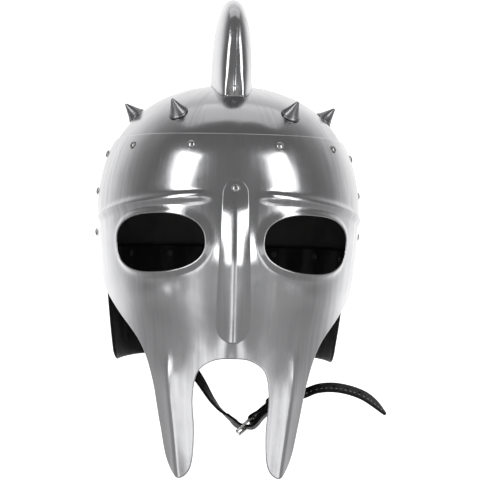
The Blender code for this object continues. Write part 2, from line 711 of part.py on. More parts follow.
def make_hole_cutter(rows):
    """One cutter with a cylinder for every shank."""
    spans = []
    for _, seat, normal, shank, _ in rows:
        spans.append((seat + normal * CUT_PAST, seat - normal * (shank + CUT_PAST)))
    return helper(many_tubes("hole_cutter", spans, RIVET_HOLE, 10))


# ---- neck flap ----


def flap_hang(azimuth, fall):
    """Leather hangs straighter than the form, with slow waves that grow towards its lower edge."""
    return FLAP_FLARE * fall + FLAP_WAVE * fall**2 * np.sin(4.5 * (azimuth - math.pi))


def make_neck_flap():
    """Leather inside the bowl's rear rim and down behind the neck, its lower corners rounded."""
    step = 360 / BOWL_AZIMUTHS
    near_end = FLAP_FROM + np.array(FLAP_END_STEPS)
    between = np.arange(FLAP_FROM + step, 360 - FLAP_FROM, step)
    degrees = np.concatenate([near_end, between, 360 - near_end[::-1]])
    azimuth = np.radians(degrees)
    from_end = np.radians(np.minimum(degrees - FLAP_FROM, 360 - FLAP_FROM - degrees)) * FORM_HALF_WIDTH
    into = np.clip(FLAP_CORNER - from_end, 0, FLAP_CORNER)
    short = FLAP_CORNER - np.sqrt(FLAP_CORNER**2 - into**2)
    down = np.linspace(0, 1, FLAP_ROWS + 1)[:, None]
    z = FLAP_TOP + (FLAP_BOTTOM + short[None, :] - FLAP_TOP) * down
    fall = np.clip((BOWL_REAR_RIM - FLAP_FREE - z) / (BOWL_REAR_RIM - FLAP_BOTTOM), 0, 1)
    lift = -(BOWL_SHEET + FLAP_GAP) + flap_hang(azimuth[None, :], fall)
    outer = form(azimuth[None, :], slope_at(z), lift).reshape(-1, 3)
    inner = form(azimuth[None, :], slope_at(z), lift - FLAP_LEATHER).reshape(-1, 3)
    n = len(degrees)
    faces = [
        (j * n + i, (j + 1) * n + i, (j + 1) * n + i + 1, j * n + i + 1)
        for j in range(FLAP_ROWS)
        for i in range(n - 1)
    ]
    return leather(wall("neck_flap", outer, inner, faces))


# ---- chin strap ----


def buckle_axes():
    """Along the strap, across it, and out of it on the side away from the chin."""
    along = unit(BUCKLE_ALONG)
    across = unit(np.array(BUCKLE_ACROSS) - np.dot(BUCKLE_ACROSS, along) * along)
    return along, across, -np.cross(along, across)


def in_buckle(s, h, w=0.0):
    along, across, out = buckle_axes()
    return np.array(BUCKLE_CENTRE) + s * along + h * out + w * across


def strap_frames(route):
    """Centres, width directions and outward directions along a route of (x, y, z, width direction) rows."""
    centre = route[:, :3]
    along = unit(np.gradient(centre, axis=0))
    across = route[:, 3:]
    across = unit(across - np.sum(across * along, axis=1, keepdims=True) * along)
    return centre, across, -np.cross(along, across)


def strip(name, centre, across, out, width, thickness):
    """A flat strip: a four-sided section carried along its frames."""
    width = np.broadcast_to(np.asarray(width, float), (len(centre),))[:, None]
    side, face = across * width / 2, out * thickness / 2
    corners = [centre + side + face, centre + side - face, centre - side - face, centre - side + face]
    points = np.stack(corners, axis=1).reshape(-1, 3)
    rows = len(centre)
    faces = [
        (4 * j + i, 4 * j + (i + 1) % 4, 4 * (j + 1) + (i + 1) % 4, 4 * (j + 1) + i)
        for j in range(rows - 1)
        for i in range(4)
    ]
    faces += [(3, 2, 1, 0), tuple(4 * (rows - 1) + i for i in range(4))]
    return body(name, points, faces)


def wall_rows(side, leather_thickness):
    """Where a strap's end lies flat inside the bowl, behind its rivet."""
    lift = -(BOWL_SHEET + STRAP_GAP + leather_thickness / 2)
    rows = []
    for away in WALL_RUN:
        spot = form(side * math.radians(STRAP_RIVET[0]), slope_at(STRAP_RIVET[1] + away), lift)
        rows.append((*spot, 0.0, 1.0, 0.0))
    return rows


def heel_line():
    """The middle of the fold on the buckle's heel bar and of the strap from there to its right anchor."""
    along, across, _ = buckle_axes()
    heel = in_buckle(BUCKLE_HALF_LENGTH, 0.0)
    first = [(*heel, *across), (*(heel + HEEL_STRAIGHT * along), *across)]
    last = wall_rows(1, BUCKLE_LEATHER)[::-1]
    return open_spline(np.array([*first, *RIGHT_ROUTE, *last]), 90)


def layer_offset(run):
    """How far each folded layer is from the middle: wide round the bar, nearly touching, then as one."""
    round_bar = BUCKLE_WIRE + CLEAR + BUCKLE_LEATHER / 2
    folded = FOLD_GAP / 2 + BUCKLE_LEATHER / 2
    near = round_bar + (folded - round_bar) * ease(0.0, PINCH_RUN, run)
    return near * (1 - ease(FOLD_LENGTH + 0.001, FOLD_LENGTH + 2 * PINCH_RUN, run))


def make_strap_buckle():
    """The right strap: from its short folded end, round the heel bar, and up to the right side."""
    centre, across, out = strap_frames(heel_line())
    run = run_of(centre)
    off = layer_offset(run)[:, None]
    long_layer = centre + out * off
    short = run < FOLD_LENGTH
    short_layer = (centre - out * off)[short][::-1]
    heel_along, heel_across, heel_out = buckle_axes()
    angle = np.radians(np.linspace(-90, -270, 9))[1:-1, None]
    arc = centre[0] + off[0] * (np.cos(angle) * heel_along + np.sin(angle) * heel_out)
    line = np.vstack([short_layer, arc, long_layer])
    widths = np.vstack([across[short][::-1], np.repeat(heel_across[None, :], len(arc), axis=0), across])
    keep = np.ones(len(line), bool)
    keep[len(short_layer) + len(arc) + FOLD_STEPS :: 2] = False
    keep[-1] = True
    c, w, o = strap_frames(np.column_stack([line, widths])[keep])
    made = leather(strip("strap_buckle", c, w, o, STRAP_WIDTH, BUCKLE_LEATHER))
    deep = (-PRONG_SLOT_DEEP, PRONG_SLOT_DEEP)
    cut(made, box_in_buckle("prong_slot_cutter", PRONG_SLOT, deep, PRONG_SLOT_HALF))
    cut(made, make_fold_cutter())
    return made


def box_in_buckle(name, s_range, h_range, half_width):
    points = [in_buckle(s, h, w) for s in s_range for h in h_range for w in (-half_width, half_width)]
    faces = [(0, 1, 3, 2), (4, 6, 7, 5), (0, 4, 5, 1), (2, 3, 7, 6), (0, 2, 6, 4), (1, 5, 7, 3)]
    return helper(body(name, points, faces))


def billet_route():
    """Rows of the left strap: from the bowl to the buckle, through it, along the right strap, and free."""
    along, across, _ = buckle_axes()
    start = wall_rows(-1, STRAP_LEATHER)
    threaded = []
    for s, h, degrees in THROUGH_BUCKLE:
        twist = math.radians(degrees)
        width = math.cos(twist) * across + math.sin(twist) * along
        threaded.append((*in_buckle(s / 1000, h / 1000), *width))
    centre, widths, out = strap_frames(heel_line())
    run = run_of(centre)
    over = layer_offset(run) + BUCKLE_LEATHER / 2 + CLEAR + STRAP_LEATHER / 2
    over = over + BILLET_RISE * ease(RISE_FROM, RISE_TO, run)
    beside = [(*(centre[i] + out[i] * over[i]), *widths[i]) for i in np.searchsorted(run, BESIDE_FOLD)]
    return np.array([*start, *LEFT_ROUTE, *threaded, *beside, *FREE_ROUTE])


def make_strap_billet():
    """The left strap, its free end tapered and punched."""
    route = open_spline(billet_route(), 96)
    centre, across, out = strap_frames(route)
    left = run_of(centre)[-1] - run_of(centre)
    taper = 1 - np.clip(1 - left / TIP_LENGTH, 0, 1) ** 2
    width = TIP_WIDTH + (STRAP_WIDTH - TIP_WIDTH) * taper
    made = leather(strip("strap_billet", centre, across, out, width, STRAP_LEATHER))
    ends = [in_buckle(s, PRONG_HEIGHT) for s in PRONG_HOLE]
    cut(made, helper(many_tubes("prong_cutter", [ends], PRONG_HOLE_RADIUS, 8)))
    cut(made, make_punch_cutter(centre, out, left))
    return made


def many_tubes(name, spans, radius, sides):
    """Straight cylinders between pairs of points, as one mesh."""
    points, faces = [], []
    for start, end in spans:
        axis = unit(end - start)
        side = unit(np.cross(axis, (0.31, 0.17, 0.93)))
        angle = np.arange(sides) * 2 * math.pi / sides
        ring = (np.cos(angle)[:, None] * side + np.sin(angle)[:, None] * np.cross(axis, side)) * radius
        first = len(points)
        points += list(start + ring) + list(end + ring)
        low = [first + i for i in range(sides)]
        high = [i + sides for i in low]
        faces += zip(low, low[1:] + low[:1], high[1:] + high[:1], high)
        faces += [tuple(low), tuple(reversed(high))]
    return body(name, points, faces)


def make_punch_cutter(centre, out, left):
    spans = []
    for away in FREE_HOLES:
        i = int(np.argmin(np.abs(left - away)))
        spans.append((centre[i] - out[i] * PUNCH_REACH, centre[i] + out[i] * PUNCH_REACH))
    return helper(many_tubes("punch_cutter", spans, PUNCH_RADIUS, 8))


def fold_spans(beyond):
    centre, _, out = strap_frames(heel_line())
    run = run_of(centre)
    picked = [int(np.searchsorted(run, at)) for at in FOLD_RIVETS]
    half = BUCKLE_LEATHER + FOLD_GAP / 2
    return [(centre[i] - out[i] * (half + beyond), centre[i] + out[i] * (half + beyond)) for i in picked]


def make_fold_cutter():
    return helper(many_tubes("fold_rivet_cutter", fold_spans(CUT_PAST), FOLD_HOLE, 8))


def make_fold_rivets():
    """Two small rivets that close the fold, their outer ends flush under the billet."""
    for i, (low, high) in enumerate(fold_spans(0.0), 1):
        axis = unit(low - high)
        depth = float(np.linalg.norm(low - high))
        end, top = CLEAR - depth, CLEAR + FOLD_HEAD_RISE
        profile = [(0, end), (FOLD_SHANK, end), (FOLD_SHANK, CLEAR), (FOLD_HEAD, CLEAR)]
        profile += [(0.8 * FOLD_HEAD, (CLEAR + 2 * top) / 3), (0, top)]
        made = turned(f"strap_rivet_{i}", profile, 10)
        place(made, low, axis)
        nickel(made)


def make_keeper():
    """A leather loop round the billet and both folded layers."""
    centre, across, out = strap_frames(heel_line())
    run = run_of(centre)
    i = int(np.searchsorted(run, KEEPER_AT))
    along = np.cross(across[i], -out[i])
    low = -(FOLD_GAP / 2 + BUCKLE_LEATHER + 2 * CLEAR) - KEEPER_LEATHER / 2
    high = FOLD_GAP / 2 + BUCKLE_LEATHER + STRAP_LEATHER + 4 * CLEAR + KEEPER_LEATHER / 2
    half = STRAP_WIDTH / 2 + 2 * CLEAR + KEEPER_LEATHER / 2
    r = KEEPER_CORNER
    line = []
    for w, h, turn in ((half, high, 0), (-half, high, 90), (-half, low, 180), (half, low, 270)):
        mid_w, mid_h = w - math.copysign(r, w), h - math.copysign(r, h)
        turns = np.radians((turn, turn + 45, turn + 90))
        line += [(mid_w + r * math.cos(a), mid_h + r * math.sin(a)) for a in turns]
    points = []
    mid = (low + high) / 2
    for w, h in line:
        shrink = KEEPER_LEATHER / 2
        for grow, end in ((1, 1), (1, -1), (-1, -1), (-1, 1)):
            gw = w + shrink * grow * math.copysign(1, w)
            gh = h + shrink * grow * math.copysign(1, h - mid)
            points.append(centre[i] + across[i] * gw + out[i] * gh + along * end * KEEPER_WIDTH / 2)
    n = len(line)
    faces = [
        (4 * j + k, 4 * j + (k + 1) % 4, 4 * ((j + 1) % n) + (k + 1) % 4, 4 * ((j + 1) % n) + k)
        for j in range(n)
        for k in range(4)
    ]
    return leather(body("strap_keeper", points, faces))


def tube(name, line, across_hint, radius, sides, closed):
    """A round wire along a line of points."""
    line = np.asarray(line)
    along = np.roll(line, -1, axis=0) - np.roll(line, 1, axis=0) if closed else np.gradient(line, axis=0)
    along = unit(along)
    side = unit(across_hint - np.sum(across_hint * along, axis=1, keepdims=True) * along)
    other = np.cross(along, side)
    angle = np.arange(sides) * 2 * math.pi / sides
    c, s = np.cos(angle)[None, :, None], np.sin(angle)[None, :, None]
    ring = c * side[:, None, :] + s * other[:, None, :]
    points = (line[:, None, :] + radius * ring).reshape(-1, 3)
    rows = len(line)
    last = rows if closed else rows - 1
    faces = [
        (
            sides * j + i,
            sides * j + (i + 1) % sides,
            sides * ((j + 1) % rows) + (i + 1) % sides,
            sides * ((j + 1) % rows) + i,
        )
        for j in range(last)
        for i in range(sides)
    ]
    if not closed:
        faces += [tuple(range(sides)), tuple(sides * (rows - 1) + i for i in reversed(range(sides)))]
    return body(name, points, faces, 60)


def make_buckle_frame():
    """A rectangle of wire with rounded corners."""
    line = []
    for s, w, turn in ((1, 1, 0), (-1, 1, 90), (-1, -1, 180), (1, -1, 270)):
        for a in np.radians((turn, turn + 30, turn + 60, turn + 90)):
            line.append(
                in_buckle(
                    s * (BUCKLE_HALF_LENGTH - BUCKLE_CORNER) + BUCKLE_CORNER * math.cos(a),
                    0.0,
                    w * (BUCKLE_HALF_WIDTH - BUCKLE_CORNER) + BUCKLE_CORNER * math.sin(a),
                )
            )
    _, _, out = buckle_axes()
    return nickel(tube("buckle_frame", line, out[None, :], BUCKLE_WIRE, 10, True))


def make_buckle_prong():
    """A wire hooked round the heel bar, through the billet, its tip on the far bar."""
    angle = np.radians(np.linspace(-140, 90, 10))
    around = zip(PRONG_HEIGHT * np.cos(angle), PRONG_HEIGHT * np.sin(angle))
    hook = [in_buckle(BUCKLE_HALF_LENGTH + s, h) for s, h in around]
    straight = [in_buckle(s, PRONG_HEIGHT) for s in np.linspace(0.0050, PRONG_TIP, 4)]
    _, across, _ = buckle_axes()
    return nickel(tube("buckle_prong", hook + straight, across[None, :], PRONG_WIRE, 8, False))


def main():
    clear_scene()
    bowl_cutter = make_bowl_cutter()
    sheets = [make_bowl(), make_face_mask(), make_nasal(), make_neck_flap()]
    sheets += [make_strap_billet(), make_strap_buckle()]
    rows = fasteners(sheets)
    holes = make_hole_cutter(rows)
    for sheet in sheets:
        cut(sheet, holes)
    make_crest(bowl_cutter)
    make_fasteners(rows)
    make_fold_rivets()
    make_keeper()
    make_buckle_frame()
    make_buckle_prong()


main()
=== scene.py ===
import math

import bpy
import numpy as np
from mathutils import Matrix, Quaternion, Vector
from mathutils.geometry import delaunay_2d_cdt


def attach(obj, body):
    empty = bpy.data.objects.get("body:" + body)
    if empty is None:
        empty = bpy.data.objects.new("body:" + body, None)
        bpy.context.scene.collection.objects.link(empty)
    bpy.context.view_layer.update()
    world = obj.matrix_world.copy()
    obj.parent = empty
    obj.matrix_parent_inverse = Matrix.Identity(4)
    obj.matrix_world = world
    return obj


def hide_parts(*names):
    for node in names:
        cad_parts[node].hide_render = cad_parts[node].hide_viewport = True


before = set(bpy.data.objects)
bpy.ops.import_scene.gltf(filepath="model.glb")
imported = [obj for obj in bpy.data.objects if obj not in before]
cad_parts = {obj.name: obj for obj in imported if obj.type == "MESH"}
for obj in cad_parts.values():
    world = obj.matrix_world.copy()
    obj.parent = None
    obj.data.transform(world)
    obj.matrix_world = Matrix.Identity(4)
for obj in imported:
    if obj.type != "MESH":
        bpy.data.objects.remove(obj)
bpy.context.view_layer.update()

# Everything is in metres. The face looks along -Y, and the origin is the inside of the crown.
# Azimuth 0 is the front and runs towards +X. Slope runs from the crown down: pi/2 is where the dome ends.


# ---- numbers and small helpers ----

def ease(low, high, value):
    # smooth step: 0 below low, 1 above high, and 3t^2 - 2t^3 between
    t = np.clip((value - low) / (high - low), 0.0, 1.0)
    return t * t * (3 - 2 * t)


def unit(vectors):
    vectors = np.asarray(vectors, float)
    return vectors / np.maximum(np.linalg.norm(vectors, axis=-1, keepdims=True), 1e-12)


def halfRound(share):
    # height of a half round over its radius, at a distance from its edge over the radius: sqrt(1 - (1 - a)^2)
    return np.sqrt(np.clip(1 - (1 - np.clip(share, 0, 1)) ** 2, 0, 1))


def stacked(*arrays):
    # arrays brought to one shape and put side by side as the columns of rows
    return np.stack(np.broadcast_arrays(*arrays), axis=-1)


def waves(points, seed, length, octaves=3):
    # smooth irregularity: a sum of sines along random directions, each octave half as long and half as high
    rng = np.random.default_rng(seed)
    total = np.zeros(points.shape[:-1])
    for octave in range(octaves):
        for _ in range(5):
            way = unit(rng.normal(size=points.shape[-1]))
            reach = length / 2**octave * rng.uniform(0.7, 1.4)
            total += np.sin(points @ way * (2 * math.pi / reach) + rng.uniform(0, 6.3)) / 2**octave / 5
    return total


def runOf(line):
    return np.concatenate([[0.0], np.cumsum(np.linalg.norm(np.diff(line, axis=0), axis=1))])


def sampled(rows, run, at):
    return np.column_stack([np.interp(at, run, column) for column in rows.T])


def splineThrough(points, count, closed=False):
    # Catmull-Rom line through the points, cut into equal steps of the length of its first three columns
    points = np.asarray(points, float)
    if closed:
        ends = np.vstack([points[-1:], points, points[:2]])
    else:
        ends = np.vstack([2 * points[0] - points[1], points, 2 * points[-1] - points[-2]])
    t = np.linspace(0, 1, 40, endpoint=False)[:, None]
    dense = []
    for a, b, c, d in zip(ends[:-3], ends[1:-2], ends[2:-1], ends[3:]):
        bend, twist = 2 * a - 5 * b + 4 * c - d, 3 * b - a - 3 * c + d
        dense.append(0.5 * (2 * b + (c - a) * t + bend * t**2 + twist * t**3))
    dense = np.vstack([*dense, ends[-2][None]])
    run = runOf(dense[:, :3])
    return sampled(dense, run, np.linspace(0, run[-1], count, endpoint=not closed))


def edgeSteps(length, half, spacing):
    # places along a side: close together within one half thickness of each end, then even steps
    close = half * np.array([0.0, 0.06, 0.24, 0.55, 1.0])
    count = max(2, int(round((length - 4 * half) / spacing)))
    return np.concatenate([close, np.linspace(2 * half, length - 2 * half, count + 1), length - close[::-1]])


def gridFaces(rows, columns, closeRows=False, closeColumns=False):
    # quads between neighbours of a rows x columns grid of points, as an array of indices
    j = np.arange(rows if closeRows else rows - 1)[:, None]
    i = np.arange(columns if closeColumns else columns - 1)[None, :]
    j2, i2 = (j + 1) % rows, (i + 1) % columns
    return stacked(j * columns + i, j2 * columns + i, j2 * columns + i2, j * columns + i2).reshape(-1, 4)


def capped(rows, columns):
    # a closed tube: the grid's quads, and a fan at each end to two tips that come after the grid's points
    tips, last, i = rows * columns, (rows - 1) * columns, np.arange(columns)
    j = (i + 1) % columns
    fans = [stacked(tips, i, j), stacked(tips + 1, last + j, last + i)]
    return [gridFaces(rows, columns, closeColumns=True), *fans]


def volumeOf(mesh):
    # one sixth of the sum of a . (b x c) over the triangles
    mesh.calc_loop_triangles()
    points = np.empty(len(mesh.vertices) * 3, np.float32)
    mesh.vertices.foreach_get("co", points)
    corners = np.empty(len(mesh.loop_triangles) * 3, np.int32)
    mesh.loop_triangles.foreach_get("vertices", corners)
    a, b, c = (points.reshape(-1, 3)[corners.reshape(-1, 3)[:, k]] for k in range(3))
    return float(np.sum(a * np.cross(b, c))) / 6


def meshOf(name, points, faces, slots=None, uv=None, sharp=None, solid=True):
    # a mesh from arrays: foreach_set fills points, loops and polygons in one go, and a solid is turned outward
    sizes = np.concatenate([np.full(len(f), f.shape[1]) for f in faces])
    loops = np.concatenate([f.reshape(-1) for f in faces])
    mesh = bpy.data.meshes.new(name)
    mesh.vertices.add(len(points))
    mesh.vertices.foreach_set("co", np.asarray(points, np.float32).reshape(-1))
    mesh.loops.add(len(loops))
    mesh.loops.foreach_set("vertex_index", loops.astype(np.int32))
    mesh.polygons.add(len(sizes))
    mesh.polygons.foreach_set("loop_start", np.concatenate([[0], np.cumsum(sizes)[:-1]]).astype(np.int32))
    mesh.polygons.foreach_set("use_smooth", np.ones(len(sizes), bool))
    if slots is not None:
        mesh.polygons.foreach_set("material_index", np.asarray(slots, np.int32))
    if uv is not None:
        layer = mesh.uv_layers.new(name="UVMap")
        layer.data.foreach_set("uv", np.asarray(uv, np.float32)[loops].reshape(-1))
    mesh.update(calc_edges=True)
    mesh.validate()
    if solid and volumeOf(mesh) < 0:
        mesh.flip_normals()
    if sharp:
        mesh.set_sharp_from_angle(angle=math.radians(sharp))
    return mesh


def linked(name, data):
    obj = bpy.data.objects.new(name, data)
    bpy.context.scene.collection.objects.link(obj)
    return obj


def pieceOf(name, mesh, materials, slot, nodes=()):
    # an object at the origin that rides on the helmet and stands for its CAD nodes
    obj = linked(name, mesh)
    for made in materials:
        obj.data.materials.append(made)
    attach(obj, "root")
    if nodes:
        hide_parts(*nodes)
    return obj


# ---- the form that every sheet follows ----

form = dict(
    halfWidth=0.1078, halfLength=0.1220, domeHeight=0.1070, bowlSheet=0.0012,
    fullness=0.020, egg=0.040, sideTaper=1.6, frontTaper=0.75, rearTaper=1.0, taperStart=0.060,
)


def slopeAt(z):
    # how far round the profile a height is: Newton steps for the dome, then distance over height below it
    z = np.asarray(z, float) - form["bowlSheet"]
    t, height = form["fullness"], form["domeHeight"]
    h = np.clip(1 + z / height, 0.0, 1.0)
    c = h.copy()
    for _ in range(8):
        error = (1 + 3 * t) * c - 4 * t * c**3 - (1 - t) * h
        c = np.clip(c - error / (1 + 3 * t - 12 * t * c**2), 0.0, 1.0)
    return np.arccos(c) + np.maximum(-z - height, 0) / height


def formBase(azimuth, slope):
    # superposed first and third harmonics round and down, narrowing below the equator
    t, keep, height = form["fullness"], 1 - form["fullness"], form["domeHeight"]
    psi = np.minimum(slope, math.pi / 2)
    below = np.maximum(slope - math.pi / 2, 0) * height
    z = form["bowlSheet"] - height - below + height * (np.cos(psi) - t * np.cos(3 * psi)) / keep
    radius = (np.sin(psi) + t * np.sin(3 * psi)) / keep
    narrowing = below**2 / (below + form["taperStart"])
    mean, swing = (form["frontTaper"] + form["rearTaper"]) / 2, (form["frontTaper"] - form["rearTaper"]) / 2
    wide = radius * (1 - form["sideTaper"] * narrowing)
    long = radius * (1 - (mean + swing * np.cos(azimuth)) * narrowing)
    across = (np.sin(azimuth) + t * np.sin(3 * azimuth)) / keep
    ahead = (np.cos(azimuth) - t * np.cos(3 * azimuth)) / keep
    x = form["halfWidth"] * wide * across * (1 - form["egg"] * np.cos(azimuth))
    return stacked(x, -form["halfLength"] * long * ahead, z)


def formNormal(azimuth, slope):
    # outward normal: the cross product of small steps down and round
    slope, step = np.maximum(slope, 0.002), 1e-4
    roundIt = formBase(azimuth + step, slope) - formBase(azimuth - step, slope)
    downIt = formBase(azimuth, slope + step) - formBase(azimuth, slope - step)
    return unit(np.cross(downIt, roundIt))


def onForm(azimuth, slope, lift=0.0):
    # points of the form, moved out along its normal by lift
    azimuth, slope = np.broadcast_arrays(np.asarray(azimuth, float), np.asarray(slope, float))
    return formBase(azimuth, slope) + formNormal(azimuth, slope) * np.asarray(lift, float)[..., None]


def outsideDome(points):
    # how far outside the dome a point is, as a share of its radius: its own radius less the dome's at that height
    t, keep = form["fullness"], 1 - form["fullness"]
    px, py = points[..., 0] * keep / form["halfWidth"], -points[..., 1] * keep / form["halfLength"]
    angle, radius = np.arctan2(px, py), np.hypot(px, py)
    for _ in range(14):
        sx = px / (1 - form["egg"] * np.cos(angle)) - radius * t * np.sin(3 * angle)
        sy = py + radius * t * np.cos(3 * angle)
        angle, radius = np.arctan2(sx, sy), np.hypot(sx, sy)
    psi = np.minimum(slopeAt(points[..., 2]), math.pi / 2)
    return radius - (np.sin(psi) + t * np.sin(3 * psi)) / keep


# ---- finishes ----

def connect(node, inputs):
    # each input takes a value, or is linked to the socket given for it
    for key, value in inputs.items():
        if isinstance(value, bpy.types.NodeSocket):
            node.id_data.links.new(value, node.inputs[key])
        else:
            node.inputs[key].default_value = value


def adderOf(tree):
    # a short way to add a node with its settings and inputs; it gives one of the node's outputs
    def add(kind, inputs=None, out=0, **settings):
        node = tree.nodes.new("ShaderNode" + kind)
        for key, value in settings.items():
            setattr(node, key, value)
        connect(node, inputs or {})
        return node.outputs[out]

    return add


def newFinish(name):
    # a material, its shader, a way to add nodes, and the object coordinates
    made = bpy.data.materials.new(name)
    made.use_nodes = True
    add = adderOf(made.node_tree)
    return made, made.node_tree.nodes["Principled BSDF"], add, add("TexCoord", out="Object")


def rampOf(add, source, stops):
    # a colour ramp with the given rising (place, grey or colour) stops
    color = add("ValToRGB", {"Fac": source})
    elements = color.node.color_ramp.elements
    for i, (at, value) in enumerate(stops):
        element = elements[i] if i < len(elements) else elements.new(at)
        element.position = at
        element.color = (*([value] * 3 if isinstance(value, (int, float)) else value), 1.0)
    return color


def noiseOf(add, where, scale, detail, roughness=0.5, distortion=0.0):
    # even noise for one scale, or noise stretched by three
    if isinstance(scale, tuple):
        where, scale = add("Mapping", {"Vector": where, "Scale": scale}), 1.0
    inputs = {"Vector": where, "Scale": scale, "Detail": detail, "Roughness": roughness, "Distortion": distortion}
    return add("TexNoise", inputs)


def mixOf(add, share, first, second, blend="MIX"):
    return add("Mix", {0: share, 6: first, 7: second}, out=2, data_type="RGBA", blend_type=blend)


def cloudedFinish(name, scale, detail, tones, rough, between=(0.3, 0.7)):
    # a slow cloud that varies both colour and gloss
    made, shader, add, solid = newFinish(name)
    cloud = noiseOf(add, solid, scale, detail, 0.6)
    tone = rampOf(add, cloud, tones)
    sides = {"From Min": between[0], "From Max": between[1], "To Min": rough[0], "To Max": rough[1]}
    connect(shader, {"Base Color": tone, "Roughness": add("MapRange", {"Value": cloud, **sides})})
    return made, shader, add, solid, tone


steelLook = dict(
    color=(0.596, 0.596, 0.608), dim=(0.484, 0.485, 0.500), roughLow=0.12, roughHigh=0.19, anisotropic=0.45,
    brush=0.13, brushScale=(2600.0, 22.0, 700.0), brushRough=0.10, bandScale=(210.0, 11.0, 60.0), bandRough=0.055,
    smudgeRough=0.035, sagScale=34.0, sag=0.00045,
)


def polishedSteel(name, tone=1.0, rough=1.0):
    # polished sheet steel: fine brush lines along one direction, cloudy polish, slow waves, and faint smudges
    look = steelLook
    made, shader, add, solid = newFinish(name)
    where = add("TexCoord", out="UV")
    brush = noiseOf(add, where, look["brushScale"], 3.0, 0.6)
    cloudy = rampOf(add, noiseOf(add, solid, 22.0, 5.0, 0.55), [(0.35, 0.0), (0.68, 1.0)])
    smudged = rampOf(add, noiseOf(add, solid, 70.0, 4.0, 0.7, 0.8), [(0.50, 0.0), (0.78, 1.0)])
    banded = rampOf(add, noiseOf(add, where, look["bandScale"], 3.0, 0.55), [(0.38, 0.0), (0.66, 1.0)])
    dimmed = add("Math", {0: cloudy, 1: banded}, operation="MULTIPLY")
    colors = [(*[c * tone for c in look[key]], 1) for key in ("color", "dim")]
    # roughness = cloudy polish + each mark's share, the brush lines' counted from their middle
    low, high = (look[key] * rough - look["brushRough"] / 2 for key in ("roughLow", "roughHigh"))
    gloss = add("MapRange", {"Value": cloudy, "To Min": low, "To Max": high})
    for mark, share in ((smudged, "smudgeRough"), (brush, "brushRough"), (banded, "bandRough")):
        gloss = add("Math", {0: mark, 1: look[share], 2: gloss}, operation="MULTIPLY_ADD")
    wavy = noiseOf(add, solid, look["sagScale"], 1.0)
    slow = add("Bump", {"Height": wavy, "Strength": 1.0, "Distance": look["sag"]})
    fine = {"Height": brush, "Strength": look["brush"], "Distance": 0.00008, "Normal": slow}
    connect(shader, {
        "Base Color": mixOf(add, dimmed, *colors), "Metallic": 1.0, "Anisotropic": look["anisotropic"],
        "Tangent": add("Tangent", direction_type="UV_MAP"), "Roughness": gloss, "Normal": add("Bump", fine),
    })
    return made


leatherLook = dict(
    dark=(0.0035, 0.0035, 0.0038), light=(0.0060, 0.0059, 0.0059), rough=(0.26, 0.44), specular=0.17,
    # the last two entries are painted sheen: the stretch and the lighter grey of streaks that stand in for light
    # reflected off the flap
    grainScale=1300.0, grainDepth=0.00024, sheenScale=(48.0, 48.0, 14.0), sheenColor=(0.042, 0.042, 0.043, 1),
)


def blackLeather(name, paintedSheen=0.0):
    # finished leather: fine cell grain, slow cloud in tone and gloss, and painted sheen: lighter streaks down a
    # hanging sheet that stand in for reflected light
    look = leatherLook
    tones = [(0.32, look["dark"]), (0.72, look["light"])]
    made, shader, add, solid, tone = cloudedFinish(name, 45.0, 4.0, tones, look["rough"])
    cell = {"Vector": solid, "Scale": look["grainScale"], "Randomness": 0.9}
    pebble = rampOf(add, add("TexVoronoi", cell, feature="DISTANCE_TO_EDGE"), [(0.0, 0.0), (0.22, 1.0)])
    # painted sheen: a stretched noise mask mixes a lighter grey into the base colour in vertical streaks, in place of
    # reflected light
    if paintedSheen:
        mask = rampOf(add, noiseOf(add, solid, look["sheenScale"], 3.0, 0.6), [(0.46, 0.0), (0.72, paintedSheen)])
        connect(shader, {"Base Color": mixOf(add, mask, tone, look["sheenColor"])})
    bump = add("Bump", {"Height": pebble, "Strength": 0.8, "Distance": look["grainDepth"]})
    connect(shader, {"Specular IOR Level": look["specular"], "Normal": bump})
    return made


def plainMetal(name, color, rough, spread=0.10):
    # small cast or plated parts: soft mottling in colour and gloss
    tones = [(0.3, tuple(0.72 * c for c in color)), (0.7, color)]
    made, shader, *_ = cloudedFinish(name, 240.0, 4.0, tones, (rough, rough + spread))
    shader.inputs["Metallic"].default_value = 1.0
    return made


maskSteel = polishedSteel("polishedMaskSteel")
bowlSteel = polishedSteel("polishedBowlSteel", tone=0.93, rough=1.1)
combSteel = polishedSteel("polishedCombSteel", tone=0.97)
nasalSteel = polishedSteel("polishedNasalSteel", tone=0.95)
# the inside: thin black paint with a dull sheen
paintTones = [(0.3, (0.010, 0.010, 0.011)), (0.75, (0.022, 0.021, 0.020))]
insidePaint = cloudedFinish("blackInsidePaint", 60.0, 5.0, paintTones, (0.42, 0.62), (0.0, 1.0))[0]
studMetal = plainMetal("darkStudSteel", (0.335, 0.335, 0.345), 0.27)
rivetMetal = plainMetal("rivetSteel", (0.55, 0.55, 0.555), 0.22)
# the flap's leather carries painted sheen streaks, a lighter grey standing in for reflected light
flapLeather = blackLeather("blackFlapLeather", paintedSheen=0.5)
strapLeather = blackLeather("blackStrapLeather")
buckleMetal = plainMetal("nickelPlate", (0.80, 0.79, 0.77), 0.10, spread=0.08)
threadLook = plainMetal("greyThread", (0.46, 0.46, 0.45), 0.6)
print("finishes made")


# ---- bowl ----

bowl = dict(
    frontRim=-0.080, rearRim=-0.150, dropFrom=math.radians(62), dropTo=math.radians(84),
    round=260, down=96, dent=0.00010, dentLength=0.055,
)


def bowlRim(azimuth):
    # the rim's height as a slope: level over the brow, dropping behind the temples
    b = bowl
    turn = np.abs((azimuth + math.pi) % (2 * math.pi) - math.pi)
    return slopeAt(b["frontRim"] + (b["rearRim"] - b["frontRim"]) * ease(b["dropFrom"], b["dropTo"], turn))


